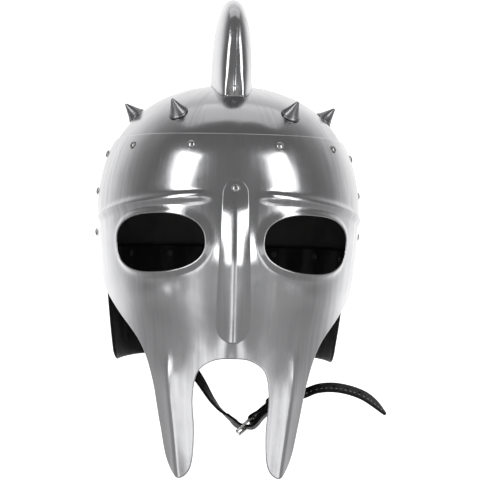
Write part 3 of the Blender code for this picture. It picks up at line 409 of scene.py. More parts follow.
def makeBowl():
    # one skin carried down from the crown, round the rim's half circle, and back up inside to the crown
    sheet, columns = form["bowlSheet"], bowl["round"]
    azimuth = np.arange(columns) * 2 * math.pi / columns
    share = np.linspace(0, 1, bowl["down"] + 1)[1:]
    none, arc = np.zeros(len(share)), np.radians(np.linspace(90, -90, 9))
    stations = np.concatenate([share, np.ones(9), share[::-1]])
    lifts = np.concatenate([none, (np.sin(arc) - 1) * sheet / 2, none - sheet])
    push = np.concatenate([none, np.cos(arc) * sheet / 2, none])
    slope = bowlRim(azimuth) * stations[:, None] + push[:, None] / form["domeHeight"]
    points = onForm(azimuth, slope, lifts[:, None])
    dent = waves(points, 4, bowl["dentLength"]) * bowl["dent"] * (1 - ease(0.97, 1.0, stations))[:, None]
    points = points + formNormal(azimuth, slope) * dent[..., None]
    crown = onForm(0.0, 0.0)
    placed = np.vstack([points.reshape(-1, 3), crown, crown - (0, 0, sheet)])
    inside = np.repeat(np.arange(len(stations) - 1) >= len(share) + 5, columns)
    slots = np.concatenate([inside.astype(int), np.zeros(columns, int), np.ones(columns, int)])
    uv = np.vstack([stacked(azimuth * 0.1, slope * 0.1).reshape(-1, 2), [[0, 0], [0, 0]]])
    mesh = meshOf("bowl", placed, capped(len(stations), columns), slots, uv)
    return pieceOf("bowlShell", mesh, [bowlSteel, insidePaint], "bowl_steel", ["bowl"])


makeBowl()
print("bowl made")


# ---- sheets with rounded edges ----

def sheetMesh(name, surface, first, second, half, away, faces, backSlot=0, dentOf=None, uvScale=1.0):
    # a sheet of thickness 2*half on two coordinates, its normals the central differences of surface(first, second).
    # The free edge is a half round over the distance from it, and both skins share their edge points
    step = 1e-5
    across = surface(first + step, second) - surface(first - step, second)
    down = surface(first, second - step) - surface(first, second + step)
    normals = unit(np.cross(down, across)).reshape(-1, 3)
    middle, away = surface(first, second).reshape(-1, 3), away.ravel()
    if dentOf:
        middle = middle + normals * dentOf(middle)[:, None]
    rise = normals * (half * halfRound(away / half))[:, None]
    own = away > 1e-9
    back = np.arange(len(middle))
    back[own] = len(middle) + np.arange(own.sum())
    uv = stacked(first * uvScale, second).reshape(-1, 2)
    slots = np.repeat([0, backSlot], len(faces))
    points = np.vstack([middle + rise, (middle - rise)[own]])
    return meshOf(name, points, [faces, back[faces[:, ::-1]]], slots, np.vstack([uv, uv[own]]))


# ---- face mask, laid out flat: u is azimuth times flatRadius and z is the height ----

mask = dict(
    flatRadius=0.112, gap=0.0005, sheet=0.0013, spacing=0.00155, edgeSpacing=0.0014, dent=0.00010, dentLength=0.050,
    eyeU=0.0655, eyeZ=-0.1275, eyeHalfLength=0.0430, eyeHalfHeight=0.0225, eyePower=2.4, eyeTilt=math.radians(-4),
    eyeRound=0.2230, rimRise=0.0022, rimReach=0.0036,
    browZ=-0.0905, browBend=0.90, browRise=0.0026, browReach=0.0034, browFrom=0.014, browTo=0.158, browRun=0.016,
    keelRise=0.0065, keelReach=0.0170, keelTop=-0.095, keelBottom=-0.222, keelRun=0.050, keelFade=0.55,
    cheekRise=0.0052, cheekReach=0.0125, cheekRound=0.0016, cheekRun=0.050,
    cheekLine=((0.0590, -0.2000), (0.0520, -0.3080)),
    boneRise=0.0018, boneU=0.0760, boneZ=-0.1720, boneWide=0.0300, boneHigh=0.0140,
    gridRow=0.87, gridLeft=-0.195, gridFoot=-0.311, gridWide=0.39, gridHigh=0.27,
    outline=[  # right half, from the forehead round to the mouth
        (0.0000, -0.0430), (0.0900, -0.0435), (0.1600, -0.0465), (0.1840, -0.0520), (0.1900, -0.0720),
        (0.1895, -0.1160), (0.1790, -0.1430), (0.1510, -0.1660), (0.1180, -0.1850), (0.0900, -0.2060),
        (0.0765, -0.2350), (0.0710, -0.2680), (0.0655, -0.2960), (0.0520, -0.3105), (0.0390, -0.3020),
        (0.0345, -0.2760), (0.0350, -0.2480), (0.0300, -0.2275), (0.0160, -0.2180), (0.0000, -0.2160),
    ],
)


def tilted(x, y, angle):
    return x * math.cos(angle) - y * math.sin(angle), x * math.sin(angle) + y * math.cos(angle)


def eyeDistance(u, z):
    # how far outside the nearer eye opening: the superellipse's size less 1, over its gradient
    m, power = mask, mask["eyePower"]
    along, across = tilted(np.abs(u) - m["eyeU"], z - m["eyeZ"], -m["eyeTilt"])
    a, b = np.abs(along) / m["eyeHalfLength"], np.abs(across) / m["eyeHalfHeight"]
    size = np.maximum((a**power + b**power) ** (1 / power), 1e-6)
    grade = np.hypot(a ** (power - 1) / m["eyeHalfLength"], b ** (power - 1) / m["eyeHalfHeight"])
    return (size - 1) / np.maximum(grade * size ** (1 - power), 1e-6)


def bell(distance, reach):
    return np.exp(-((distance / reach) ** 2))


def relief(u, z):
    # how far the mask stands out of the form: Gaussian ridges for rims, brow, nose and cheekbone, and a crease
    # that falls off exponentially down each cheek
    m, side = mask, np.abs(u)
    rim = m["rimRise"] * bell(np.maximum(eyeDistance(u, z), 0), m["rimReach"])
    fade = ease(m["browFrom"], m["browFrom"] + m["browRun"], side)
    fade = fade * (1 - ease(m["browTo"] - m["browRun"], m["browTo"], side))
    brow = m["browRise"] * bell(z - m["browZ"] + m["browBend"] * u**2, m["browReach"]) * fade
    span = ease(m["keelTop"], m["keelTop"] - m["keelRun"], z)
    span = span * (1 - m["keelFade"] * ease(m["keelBottom"] + m["keelRun"], m["keelBottom"], z))
    keel = m["keelRise"] * bell(side, m["keelReach"]) * span
    (u0, z0), (u1, z1) = m["cheekLine"]
    onLine = u0 + (u1 - u0) * (z - z0) / (z1 - z0)
    crease = np.hypot(side - onLine, m["cheekRound"]) - m["cheekRound"]
    cheek = m["cheekRise"] * np.exp(-crease / m["cheekReach"]) * ease(z0, z0 - m["cheekRun"], z)
    bone = m["boneRise"] * bell(side - m["boneU"], m["boneWide"]) * bell(z - m["boneZ"], m["boneHigh"])
    return rim + brow + keel + cheek + bone


def onMask(u, z, lift=0.0):
    # the mask's middle surface plus lift, at flat coordinates
    return onForm(u / mask["flatRadius"], slopeAt(z), mask["gap"] + mask["sheet"] / 2 + relief(u, z) + lift)


def maskOutline():
    right = np.array(mask["outline"])
    closed = np.vstack([right, right[-2:0:-1] * (-1, 1)])
    length = runOf(splineThrough(np.column_stack([closed, 0 * closed[:, 0]]), 900, closed=True)[:, :2])[-1]
    return splineThrough(closed, int(length / mask["edgeSpacing"]), closed=True)


def offsetLoop(loop, distance):
    # a closed line moved to its left by a distance
    along = np.roll(loop, -1, axis=0) - np.roll(loop, 1, axis=0)
    return loop + unit(np.column_stack([-along[:, 1], along[:, 0]])) * distance


def eyeLoop(side, away, count):
    # the superellipse round one eye, this far outside it, running anticlockwise
    m, power = mask, mask["eyePower"]
    dense = np.arange(4000) * 2 * math.pi / 4000
    c, s = np.cos(dense), np.sin(dense)
    reach = (np.abs(c / m["eyeHalfLength"]) ** power + np.abs(s / m["eyeHalfHeight"]) ** power) ** (-1 / power)
    ring = offsetLoop(np.column_stack([c * reach, s * reach]), -away)
    run = runOf(np.vstack([ring, ring[:1]]))
    ring = sampled(ring, run[:-1], np.linspace(0, run[-1], count, endpoint=False))
    u, z = tilted(*ring.T, m["eyeTilt"])
    return np.column_stack([(m["eyeU"] + u) * side, m["eyeZ"] + z])[::side]


def inBlocks(points, size, answer):
    # answer for every point, worked out in blocks to keep arrays small
    return np.concatenate([answer(block) for block in np.array_split(points, max(1, len(points) // size))])


def insideLoop(points, loop):
    # even-odd rule: how many edges a ray to the left crosses
    (x0, y0), (x1, y1) = loop.T, np.roll(loop, -1, axis=0).T
    rise = np.where(y1 == y0, 1e-12, y1 - y0)

    def crossed(block):
        x, y = block[:, :1], block[:, 1:]
        return (((y0 > y) != (y1 > y)) & (x < x0 + (y - y0) * (x1 - x0) / rise)).sum(axis=1) % 2 == 1

    return inBlocks(points, 2000, crossed)


def awayFrom(points, loop):
    # distance from each point to the nearest edge of a closed line
    ab = np.roll(loop, -1, axis=0) - loop
    length = np.sum(ab**2, axis=1)

    def nearest(block):
        ap = block[:, None, :] - loop
        t = np.clip(np.sum(ap * ab, axis=-1) / length, 0, 1)
        return np.sqrt(np.sum((ap - t[..., None] * ab) ** 2, axis=-1).min(axis=1))

    return inBlocks(points, 1000, nearest)


def maskFlat():
    # triangles over the flat mask, with rows of points close to every edge, and each point's distance from its edge
    steps = mask["sheet"] / 2 * np.array([0.0, 0.06, 0.24, 0.55, 1.0, 2.1])
    outline = maskOutline()
    x, y = outline.T
    turn = 1 if np.sum(x * np.roll(y, -1) - np.roll(x, -1) * y) > 0 else -1
    count = int(mask["eyeRound"] / mask["edgeSpacing"])
    loops = [offsetLoop(outline, turn * d) for d in steps]
    loops += [eyeLoop(side, d, count) for side in (1, -1) for d in steps]
    marks = [np.full(len(loop), d) for loop, d in zip(loops, [*steps, *steps, *steps])]
    # a grid of even triangles over the box of the mask, kept where it is inside
    step, row = mask["spacing"], mask["gridRow"] * mask["spacing"]
    j, i = np.mgrid[0:int(mask["gridHigh"] / row), 0:int(mask["gridWide"] / step)]
    grid = stacked((i + 0.5 * (j % 2)) * step + mask["gridLeft"], j * row + mask["gridFoot"]).reshape(-1, 2)
    grid = grid[insideLoop(grid, outline)]
    grid = grid[eyeDistance(*grid.T) > steps[-1] + 0.5 * step]
    grid = grid[awayFrom(grid, outline) > steps[-1] + 0.55 * step]
    placed = np.vstack([*loops, grid])
    away = np.concatenate([*marks, np.full(len(grid), 1.0)])
    starts = np.cumsum([0, *map(len, loops)])
    sizes = zip(starts, map(len, loops))
    edges = np.vstack([stacked(first + np.arange(n), first + (np.arange(n) + 1) % n) for first, n in sizes]).tolist()
    flat, _, faces, original, *_ = delaunay_2d_cdt([Vector(p) for p in placed], edges, [], 0, 1e-8)
    flat, faces = np.array([tuple(p) for p in flat]), np.array(faces)
    source = np.array([o[0] for o in original])
    middle = flat[faces].mean(axis=1)
    eyes = insideLoop(middle, loops[len(steps)]) | insideLoop(middle, loops[2 * len(steps)])
    faces = faces[insideLoop(middle, outline) & ~eyes]
    used, faces = np.unique(faces, return_inverse=True)
    return flat[used], faces.reshape(-1, 3), away[source][used]


def makeMask():
    flat, faces, away = maskFlat()
    dentOf = lambda points: waves(points, 9, mask["dentLength"]) * mask["dent"]
    mesh = sheetMesh("faceMask", onMask, *flat.T, mask["sheet"] / 2, away, faces, 1, dentOf)
    return pieceOf("faceMask", mesh, [maskSteel, insidePaint], "mask_steel", ["face_mask"])


makeMask()
print("mask made")


# ---- nasal ----

nasal = dict(
    top=-0.0790, bottom=-0.2030, topHalf=0.0095, bottomHalf=0.0140, ridge=0.0032, flat=0.0100, gap=0.0004,
    downSpacing=0.0012, acrossSpacing=0.0008,
)


def makeNasal():
    # rows down the strip and columns across it, both close together at the edges
    n, half = nasal, mask["sheet"] / 2
    length = n["top"] - n["bottom"]
    down = edgeSteps(length, half, n["downSpacing"])[:, None]
    across = edgeSteps(2 * n["bottomHalf"], half, n["acrossSpacing"]) / n["bottomHalf"] - 1
    widthAt = lambda z: n["topHalf"] + (n["bottomHalf"] - n["topHalf"]) * (n["top"] - z) / length
    z = n["top"] - down + 0 * across
    ends = [np.maximum(halfRound(down / n["topHalf"]), math.sqrt(0.1)),
            np.maximum(halfRound((length - down) / n["bottomHalf"]), math.sqrt(0.1))]
    u = across * widthAt(z) * ends[0] * ends[1]

    def surface(u, z):
        peak = np.sqrt((u / widthAt(z)) ** 2 + 0.0009)
        ridge = n["ridge"] * (1 - peak) * ease(n["top"] - n["flat"], n["top"] - 3 * n["flat"], z)
        return onMask(u, z, mask["sheet"] + n["gap"] + ridge)

    away = np.minimum(np.minimum(down, length - down), (1 - np.abs(across)) * n["bottomHalf"])
    mesh = sheetMesh("nasal", surface, u, z, half, away, gridFaces(*u.shape))
    return pieceOf("nasalStrip", mesh, [nasalSteel], "nasal_steel", ["nasal"])


makeNasal()
print("nasal made")


# ---- comb ----

comb = dict(
    ridge=[
        (-0.0640, -0.0175), (-0.0655, 0.0100), (-0.0610, 0.0380), (-0.0460, 0.0600), (-0.0150, 0.0715),
        (0.0250, 0.0680), (0.0640, 0.0500), (0.0980, 0.0180), (0.1190, -0.0250), (0.1265, -0.0620), (0.1185, -0.0900),
    ],
    halfWidth=0.0165, endHalf=0.0045, widest=0.30, foot=-0.0170, root=0.008, power=2.6, gap=0.0004,
    seam=0.0005, seamReach=0.0007, flare=0.0007, flareHeight=0.0022, dent=0.00008, dentLength=0.045,
    stations=300, sides=72, under=12,
)


def combSection(t):
    # the foot and ridge points and half width at a share of the comb's length
    c = comb
    ridge = sampled(splineThrough(c["ridge"], 2001), np.linspace(0, 1, 2001), t.ravel()).reshape(*t.shape, 2)
    front, rear = slopeAt(c["foot"]), slopeAt(c["ridge"][-1][1])
    walk = -front + (front + rear) * t
    foot = onForm(np.where(walk < 0, 0.0, math.pi), np.abs(walk), -c["root"])[..., 1:]
    nose = halfRound(t / c["widest"])
    tail = np.cos(0.5 * math.pi * np.clip((t - c["widest"]) / (1 - c["widest"]), 0, 1)) ** 0.8
    return foot, ridge, np.maximum(c["halfWidth"] * np.where(t < c["widest"], nose, tail), c["endHalf"])


def combPoint(t, angle):
    # arched section: x = half*cos^(2/p), and the height share sin^(2/p), from the foot to the ridge
    foot, ridge, half = combSection(t)
    x = half * np.sign(np.cos(angle)) * np.abs(np.cos(angle)) ** (2 / comb["power"])
    yz = foot + (np.abs(np.sin(angle)) ** (2 / comb["power"]))[..., None] * (ridge - foot)
    return stacked(x, yz[..., 0], yz[..., 1])


def rootOf(inner, outer, test):
    # halving: where test changes sign between two arrays of places
    for _ in range(34):
        middle = (inner + outer) / 2
        out = test(middle) > 0
        inner, outer = np.where(out, inner, middle), np.where(out, middle, outer)
    return (inner + outer) / 2


def combUnder(t, right, left, margin):
    # the underside: from the left foot back to the right one, following the bowl
    foot, ridge, _ = combSection(t)
    way = unit(ridge - foot)
    x = left[:, :1] + (right[:, :1] - left[:, :1]) * np.linspace(0, 1, comb["under"])[1:-1]

    def point(h):
        yz = foot[:, None, :] + way[:, None, :] * h[..., None]
        return stacked(x, yz[..., 0], yz[..., 1])

    outside = lambda h: outsideDome(point(h)) - 0.6 * margin
    return point(rootOf(np.full_like(x, -0.02), np.full_like(x, 0.05), outside))


def makeComb():
    # the section is followed only where it is outside the bowl, so its foot is the line where the two meet
    c = comb
    margin = c["gap"] / form["halfWidth"]
    outside = lambda t, angle: outsideDome(combPoint(t, angle)) - margin
    top = lambda t: outside(t, np.full_like(t, math.pi / 2))
    t0, t1 = (rootOf(np.array([a]), np.array([b]), top)[0] for a, b in ((0.0, 0.3), (1.0, 0.7)))
    share = 0.5 - 0.5 * np.cos(np.linspace(0, math.pi, c["stations"] + 1)[1:-1])
    t = (t0 + (t1 - t0) * share)[:, None]
    low = rootOf(np.zeros_like(t), np.full_like(t, math.pi / 2), lambda angle: outside(t, angle))
    spread = np.linspace(0, 1, c["sides"] + 1)
    spread = spread + 0.10 * np.sin(4 * math.pi * spread) / (4 * math.pi)
    angle = low + (math.pi - 2 * low) * spread
    t = t + 0 * angle
    skin, step = combPoint(t, angle), 1e-5
    ahead = combPoint(t + step, angle) - combPoint(t - step, angle)
    normals = unit(np.cross(ahead, combPoint(t, angle + step) - combPoint(t, angle - step)))
    outward = skin - skin.mean(axis=1, keepdims=True) * (0, 1, 1)
    normals *= np.sign(np.sum(normals * outward, axis=-1, keepdims=True))
    # the foot flares a little, a fine seam runs along the ridge, and both fade out at the comb's ends
    height = np.minimum(runOver(skin), runOver(skin[:, ::-1])[:, ::-1])
    foot = c["flare"] * (1 - ease(0.0, c["flareHeight"], height)) ** 2
    seam = c["seam"] * bell(skin[..., 0], c["seamReach"])
    dent = c["dent"] * waves(skin, 12, c["dentLength"]) * ease(0.0, 0.006, height)
    fade = (ease(0.0, 0.02, share) * ease(1.0, 0.98, share))[:, None]
    outer = skin + normals * ((foot + seam + dent) * fade)[..., None]
    around = np.concatenate([outer, combUnder(t[:, 0], outer[:, 0], outer[:, -1], margin)], axis=1)
    rows, columns = around.shape[:2]
    ends = [combPoint(np.array(e), np.array(math.pi / 2)) for e in (t0, t1)]
    uv = stacked(t[:, :1] * 0.25, np.arange(columns) * 0.001).reshape(-1, 2)
    points, uv = np.vstack([around.reshape(-1, 3), *ends]), np.vstack([uv, [[0, 0], [0.25, 0]]])
    mesh = meshOf("comb", points, capped(rows, columns), uv=uv, sharp=50)
    return pieceOf("comb", mesh, [combSteel], "comb_steel", ["crest"])


def runOver(grid):
    # distance along each row of a grid of points
    steps = np.linalg.norm(np.diff(grid, axis=1), axis=-1)
    return np.concatenate([np.zeros((len(grid), 1)), np.cumsum(steps, axis=1)], axis=1)


makeComb()
print("comb made")


# ---- rivets and studs ----

rivet = dict(
    head=0.0034, rise=0.0019, back=0.0028, backRise=0.0008, shank=0.0015, segments=32,
    onMask=((20, -0.0520), (54, -0.0525), (88, -0.0585), (90, -0.0890)),  # azimuth in degrees, and height
    onFlap=(105, 130, 155), flapHeight=-0.1430, strapHeight=-0.1230, nasalHeight=-0.0855,
)
stud = dict(
    base=0.0080, foot=0.0010, rise=0.0140, tip=0.0012, segments=56, around=(34, 90, 146), slope=math.radians(44),
)


def turned(profile, segments):
    # a profile of (radius, height) rows carried round Z, its first and last rows on the axis
    profile = np.asarray(profile, float)
    angle = np.arange(segments) * 2 * math.pi / segments
    radius, height = profile[1:-1, :1], profile[1:-1, 1:]
    ring = stacked(radius * np.cos(angle), radius * np.sin(angle), height).reshape(-1, 3)
    return np.vstack([ring, [[0, 0, profile[0, 1]], [0, 0, profile[-1, 1]]]]), capped(len(profile) - 2, segments)


def roundedCorner(a, b, c, radius, steps=4):
    # the corner b of a profile replaced by a curve: a quadratic Bezier between points radius away along each side
    a, b, c = (np.asarray(p, float) for p in (a, b, c))
    start = b + unit(a - b) * min(radius, np.linalg.norm(a - b) / 2)
    end = b + unit(c - b) * min(radius, np.linalg.norm(c - b) / 2)
    t = np.linspace(0, 1, steps + 1)[:, None]
    return (1 - t) ** 2 * start + 2 * t * (1 - t) * b + t**2 * end


def setEnd(low):
    # the hammered inner end and the shank, its corners rounded
    back, shank, far = rivet["back"], rivet["shank"], low - rivet["backRise"]
    corners = [(0, far), (back, far), (back, low), (shank, low), (shank, 0.0)]
    outerCorner, innerCorner = roundedCorner(*corners[:3], 0.0004), roundedCorner(*corners[1:4], 0.0002)
    return [corners[0], *outerCorner, *innerCorner, *corners[3:]]


def rivetHead():
    angles = np.radians((0.5, 6, 14, 24, 36, 50, 65, 80))
    return [(rivet["head"] * math.cos(a) ** 0.9, rivet["rise"] * math.sin(a) ** 1.1) for a in angles]


def studHead():
    # a waisted cone on a low foot, its lower corners rounded, with a small dome for its tip
    base, foot, tip, height = stud["base"], stud["foot"], stud["tip"], stud["rise"]
    side = [(base, 0.0), (base, foot), (base * 0.92, foot * 1.3), (base * 0.64, height * 0.36)]
    side = np.array([*side, (tip * 1.15, height - tip)])
    lower = [side[2] + (side[3] - side[2]) * k for k in (0.35, 0.7, 1.0)]
    upper = [side[3] + (side[4] - side[3]) * k for k in (0.25, 0.5, 0.75, 1.0)]
    dome = [(tip * 1.05 * math.cos(a), height - tip + tip * math.sin(a)) for a in np.radians((20, 45, 70))]
    return [side[0], *roundedCorner(*side[:3], 0.0005), *roundedCorner(*side[1:4], 0.0008), *lower, *upper, *dome]


def squareTo(axis):
    # two directions square to an axis and to each other, from a direction that no axis here lies along
    side = unit(np.cross(axis, (0.31, 0.17, 0.93)))
    return side, np.cross(axis, side)


def placeOn(name, profile, segments, point, normal):
    # a turned piece stood on a point along a normal
    points, faces = turned(profile, segments)
    turn = np.column_stack([*squareTo(unit(normal)), unit(normal)])
    uv = stacked(np.arctan2(points[:, 1], points[:, 0]) * 0.001, points[:, 2])
    return meshOf(name, points @ turn.T + point, faces, uv=uv, sharp=38)


def seatOf(node, point, normal):
    # how far the CAD node reaches out of and into the form at a point, along the normal
    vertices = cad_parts[node].data.vertices
    found = np.empty(len(vertices) * 3, np.float32)
    vertices.foreach_get("co", found)
    reach = (found.reshape(-1, 3) - point) @ normal
    return reach.max(), reach.min()


def addRivet(node, degrees, slope, isStud=False):
    azimuth, slope = np.radians(degrees), np.float64(slope)
    point, normal = onForm(azimuth, slope), formNormal(azimuth, slope)
    top, low = seatOf(node, point, normal)
    kind, head = (stud, studHead()) if isStud else (rivet, rivetHead())
    seat, segments = top - kind["rise"], kind["segments"]
    inner = setEnd(low + rivet["backRise"] - seat)
    profile = [*inner, *head, (0, kind["rise"])]
    mesh = placeOn(node + "_fine", profile, segments, point + normal * seat, normal)
    # the bands of the inner end and the fan that closes it are painted like the inside
    slots = np.zeros(len(mesh.polygons), np.int32)
    slots[:segments * (len(inner) - 2)] = 1
    slots[segments * (len(profile) - 3):segments * (len(profile) - 2)] = 1
    mesh.polygons.foreach_set("material_index", slots)
    finish, slot = (studMetal, "stud_steel") if isStud else (rivetMetal, "rivet_steel")
    pieceOf(node + "_fine", mesh, [finish, insidePaint], slot, [node])


for side, word in ((1, "right"), (-1, "left")):
    for i, (degrees, z) in enumerate(rivet["onMask"], 1):
        addRivet(f"rivet_mask_{word}_{i}", side * degrees, slopeAt(z))
    addRivet(f"rivet_strap_{word}", side * 90, slopeAt(rivet["strapHeight"]))
    for i, degrees in enumerate(rivet["onFlap"], 1):
        addRivet(f"rivet_flap_{word}_{i}", side * degrees, slopeAt(rivet["flapHeight"]))
    for i, degrees in enumerate(stud["around"], 1):
        addRivet(f"stud_{word}_{i}", side * degrees, stud["slope"], isStud=True)
addRivet("rivet_flap_middle", 180, slopeAt(rivet["flapHeight"]))
addRivet("rivet_nasal", 0, slopeAt(rivet["nasalHeight"]))
print("rivets and studs made")


# ---- neck flap ----

flap = dict(
    top=-0.1360, bottom=-0.2320, start=math.radians(96), corner=0.014, wave=0.0016, flare=0.0020, free=0.0040,
    leather=0.0025, gap=0.0005, ripple=0.0002, spacing=0.0016,
)


def flapSurface(azimuth, z):
    # the middle of the leather: inside the bowl, then flaring with waves that grow towards the lower edge
    f = flap
    fall = np.clip((bowl["rearRim"] - f["free"] - z) / (bowl["rearRim"] - f["bottom"]), 0, 1)
    hang = f["flare"] * fall + f["wave"] * fall**2 * np.sin(4.5 * (azimuth - math.pi))
    ripple = f["ripple"] * fall * (np.sin(17 * azimuth + 9 * fall) + 0.6 * np.sin(31 * azimuth - 5 * fall + 1.0))
    return onForm(azimuth, slopeAt(z), -(form["bowlSheet"] + f["gap"] + f["leather"] / 2) + hang + ripple)


def makeFlap():
    f, half = flap, flap["leather"] / 2
    width = (2 * math.pi - 2 * f["start"]) * form["halfWidth"]
    length = f["top"] - f["bottom"]
    side = edgeSteps(width, half, f["spacing"])
    down = edgeSteps(length, half, f["spacing"])[:, None]
    fromEnd = np.minimum(side, width - side)
    short = f["corner"] * (1 - halfRound(fromEnd / f["corner"]))
    z = f["top"] - down * (1 - short / length)
    azimuth = f["start"] + side / form["halfWidth"] + 0 * z
    away = np.minimum(np.minimum(down, length - down), fromEnd)
    faces = gridFaces(*z.shape)
    mesh = sheetMesh("neckFlap", flapSurface, azimuth, z, half, away, faces, uvScale=form["halfWidth"])
    return pieceOf("neckFlap", mesh, [flapLeather], "flap_leather", ["neck_flap"])


# cut from flat leather 331 mm round the bowl and 96 mm high, narrower at the foot, with rounded corners
makeFlap()
print("neck flap made")


# ---- chin strap ----

strap = dict(
    width=0.0120, leather=0.0022, buckleLeather=0.0020, gap=0.0016, foldGap=0.0005, clear=0.0003,
    tipLength=0.0220, tipWidth=0.0022, foldLength=0.0240, pinchRun=0.0080, rise=0.0008,
    keeperAt=0.0190, keeperWidth=0.0050, keeperLeather=0.0012, keeperCorner=0.0012, foldRivets=(0.0080, 0.0130),
    holes=(0.030, 0.041, 0.052, 0.063, 0.074), holeRadius=0.0012, slotRadius=0.0013, slotLength=0.0072,
    slotAt=0.0073, slotReach=0.0055, punchReach=0.003, prongSlot=(-0.006, 0.0075),
    pinHead=0.0015, pinShank=0.0008, pinRise=0.0008, edgeRound=0.00075, wallSteps=(0.008, -0.003, -0.014),
    stitchPitch=0.0040, stitchLength=0.0019, stitchRadius=0.00032, stitchIn=0.0038, stitchFrom=0.0065, stitchTo=0.088,
    # rows of (x, y, z, width direction)
    left=[
        (-0.0958, -0.0070, -0.1520, 0.00, 1.00, 0.10), (-0.0830, -0.0300, -0.1860, 0.30, 0.88, 0.22),
        (-0.0580, -0.0540, -0.2110, 0.50, 0.70, 0.42), (-0.0300, -0.0650, -0.2300, 0.45, 0.78, 0.36),
        (-0.0125, -0.0670, -0.2545, 0.26, 0.93, 0.02),
    ],
    # rows of (along the buckle and out of it in millimetres, twist in degrees)
    through=[
        (-5.4, -18.8, 0), (-4.7, -12.6, -8), (-4.2, -8.2, -14), (-3.6, -4.6, -12),
        (-2.0, -1.6, -6), (0.6, 1.3, 0), (3.6, 4.2, 0),
    ],
    right=[
        (0.0276, -0.0663, -0.2630, 0.17, 0.94, -0.30), (0.0362, -0.0645, -0.2552, 0.12, 0.95, -0.26),
        (0.0455, -0.0600, -0.2450, 0.04, 0.97, -0.15), (0.0580, -0.0500, -0.2290, -0.04, 0.99, -0.02),
        (0.0762, -0.0330, -0.2015, -0.04, 1.00, 0.02), (0.0905, -0.0130, -0.1680, 0.00, 1.00, 0.00),
    ],
    free=[
        (0.0590, -0.0600, -0.2503, -0.10, 0.92, 0.30), (0.0716, -0.0602, -0.2450, 0.00, 0.90, 0.42),
        (0.0841, -0.0595, -0.2437, 0.05, 0.88, 0.46), (0.0968, -0.0580, -0.2455, 0.10, 0.87, 0.47),
        (0.1097, -0.0560, -0.2500, 0.18, 0.86, 0.46), (0.1200, -0.0530, -0.2568, 0.25, 0.86, 0.42),
        (0.1298, -0.0500, -0.2663, 0.30, 0.86, 0.40),
    ],
)
buckle = dict(
    centre=(0.0141, -0.0680, -0.2750), along=(0.740, 0.100, 0.660), across=(0.170, 0.930, -0.330),
    halfLength=0.0080, halfWidth=0.0080, heelStraight=0.0045, corner=0.0022, wire=0.0011, prong=0.0008,
    prongTaper=(0.99, 0.97, 0.94, 0.90, 0.84, 0.74, 0.58, 0.34),
)


def buckleAxes():
    along = unit(buckle["along"])
    across = unit(np.array(buckle["across"]) - np.dot(buckle["across"], along) * along)
    return along, across, -np.cross(along, across)


def inBuckle(s, h, w=0.0):
    # along the buckle, out of it and across it
    along, across, out = buckleAxes()
    return np.array(buckle["centre"]) + s * along + h * out + w * across


def strapFrames(route):
    # centres, width directions and outward directions from rows of (x, y, z, width direction)
    centre = route[:, :3]
    along = unit(np.gradient(centre, axis=0))
    across = route[:, 3:]
    across = unit(across - np.sum(across * along, axis=1, keepdims=True) * along)
    return centre, across, -np.cross(along, across)


def wallRows(side, leather):
    lift = -(form["bowlSheet"] + strap["gap"] + leather / 2)
    heights = rivet["strapHeight"] + np.array(strap["wallSteps"])
    points = onForm(side * math.radians(90), slopeAt(heights), lift)
    return np.column_stack([points, np.tile((0.0, 1.0, 0.0), (3, 1))])


def heelLine(count):
    along, across, _ = buckleAxes()
    heel = inBuckle(buckle["halfLength"], 0.0)
    first = [(*heel, *across), (*(heel + buckle["heelStraight"] * along), *across)]
    return splineThrough(np.vstack([first, strap["right"], wallRows(1, strap["buckleLeather"])[::-1]]), count)


def splineEven(rows, count):
    # rows of a line taken at even steps of its length, close together at both ends
    run = runOf(rows[:, :3])
    return sampled(rows, run, edgeSteps(run[-1], strap["edgeRound"], run[-1] / count))


def layerOffset(run):
    # how far each folded layer is from the middle: wide round the bar, nearly touching, then as one
    s = strap
    roundBar = buckle["wire"] + s["clear"] + s["buckleLeather"] / 2
    folded = s["foldGap"] / 2 + s["buckleLeather"] / 2
    near = roundBar + (folded - roundBar) * ease(0.0, s["pinchRun"], run)
    return near * (1 - ease(s["foldLength"] + 0.001, s["foldLength"] + 2 * s["pinchRun"], run))


def roundBox(halfWide, halfHigh, radius, steps):
    # a rectangle with round corners, anticlockwise from the right: its points, and the outward direction at each
    turns = np.radians(np.concatenate([np.linspace(0, 90, steps) + 90 * k for k in range(4)]))
    wayX, wayY = np.cos(turns), np.sin(turns)
    x = np.repeat([1, -1, -1, 1], steps) * (halfWide - radius) + radius * wayX
    y = np.repeat([1, 1, -1, -1], steps) * (halfHigh - radius) + radius * wayY
    return x, y, wayX, wayY


def repeated(blocks, count, size):
    # the faces of one body, for each of several bodies whose points follow one another
    return [np.vstack([block + k * size for k in range(count)]) for block in blocks]


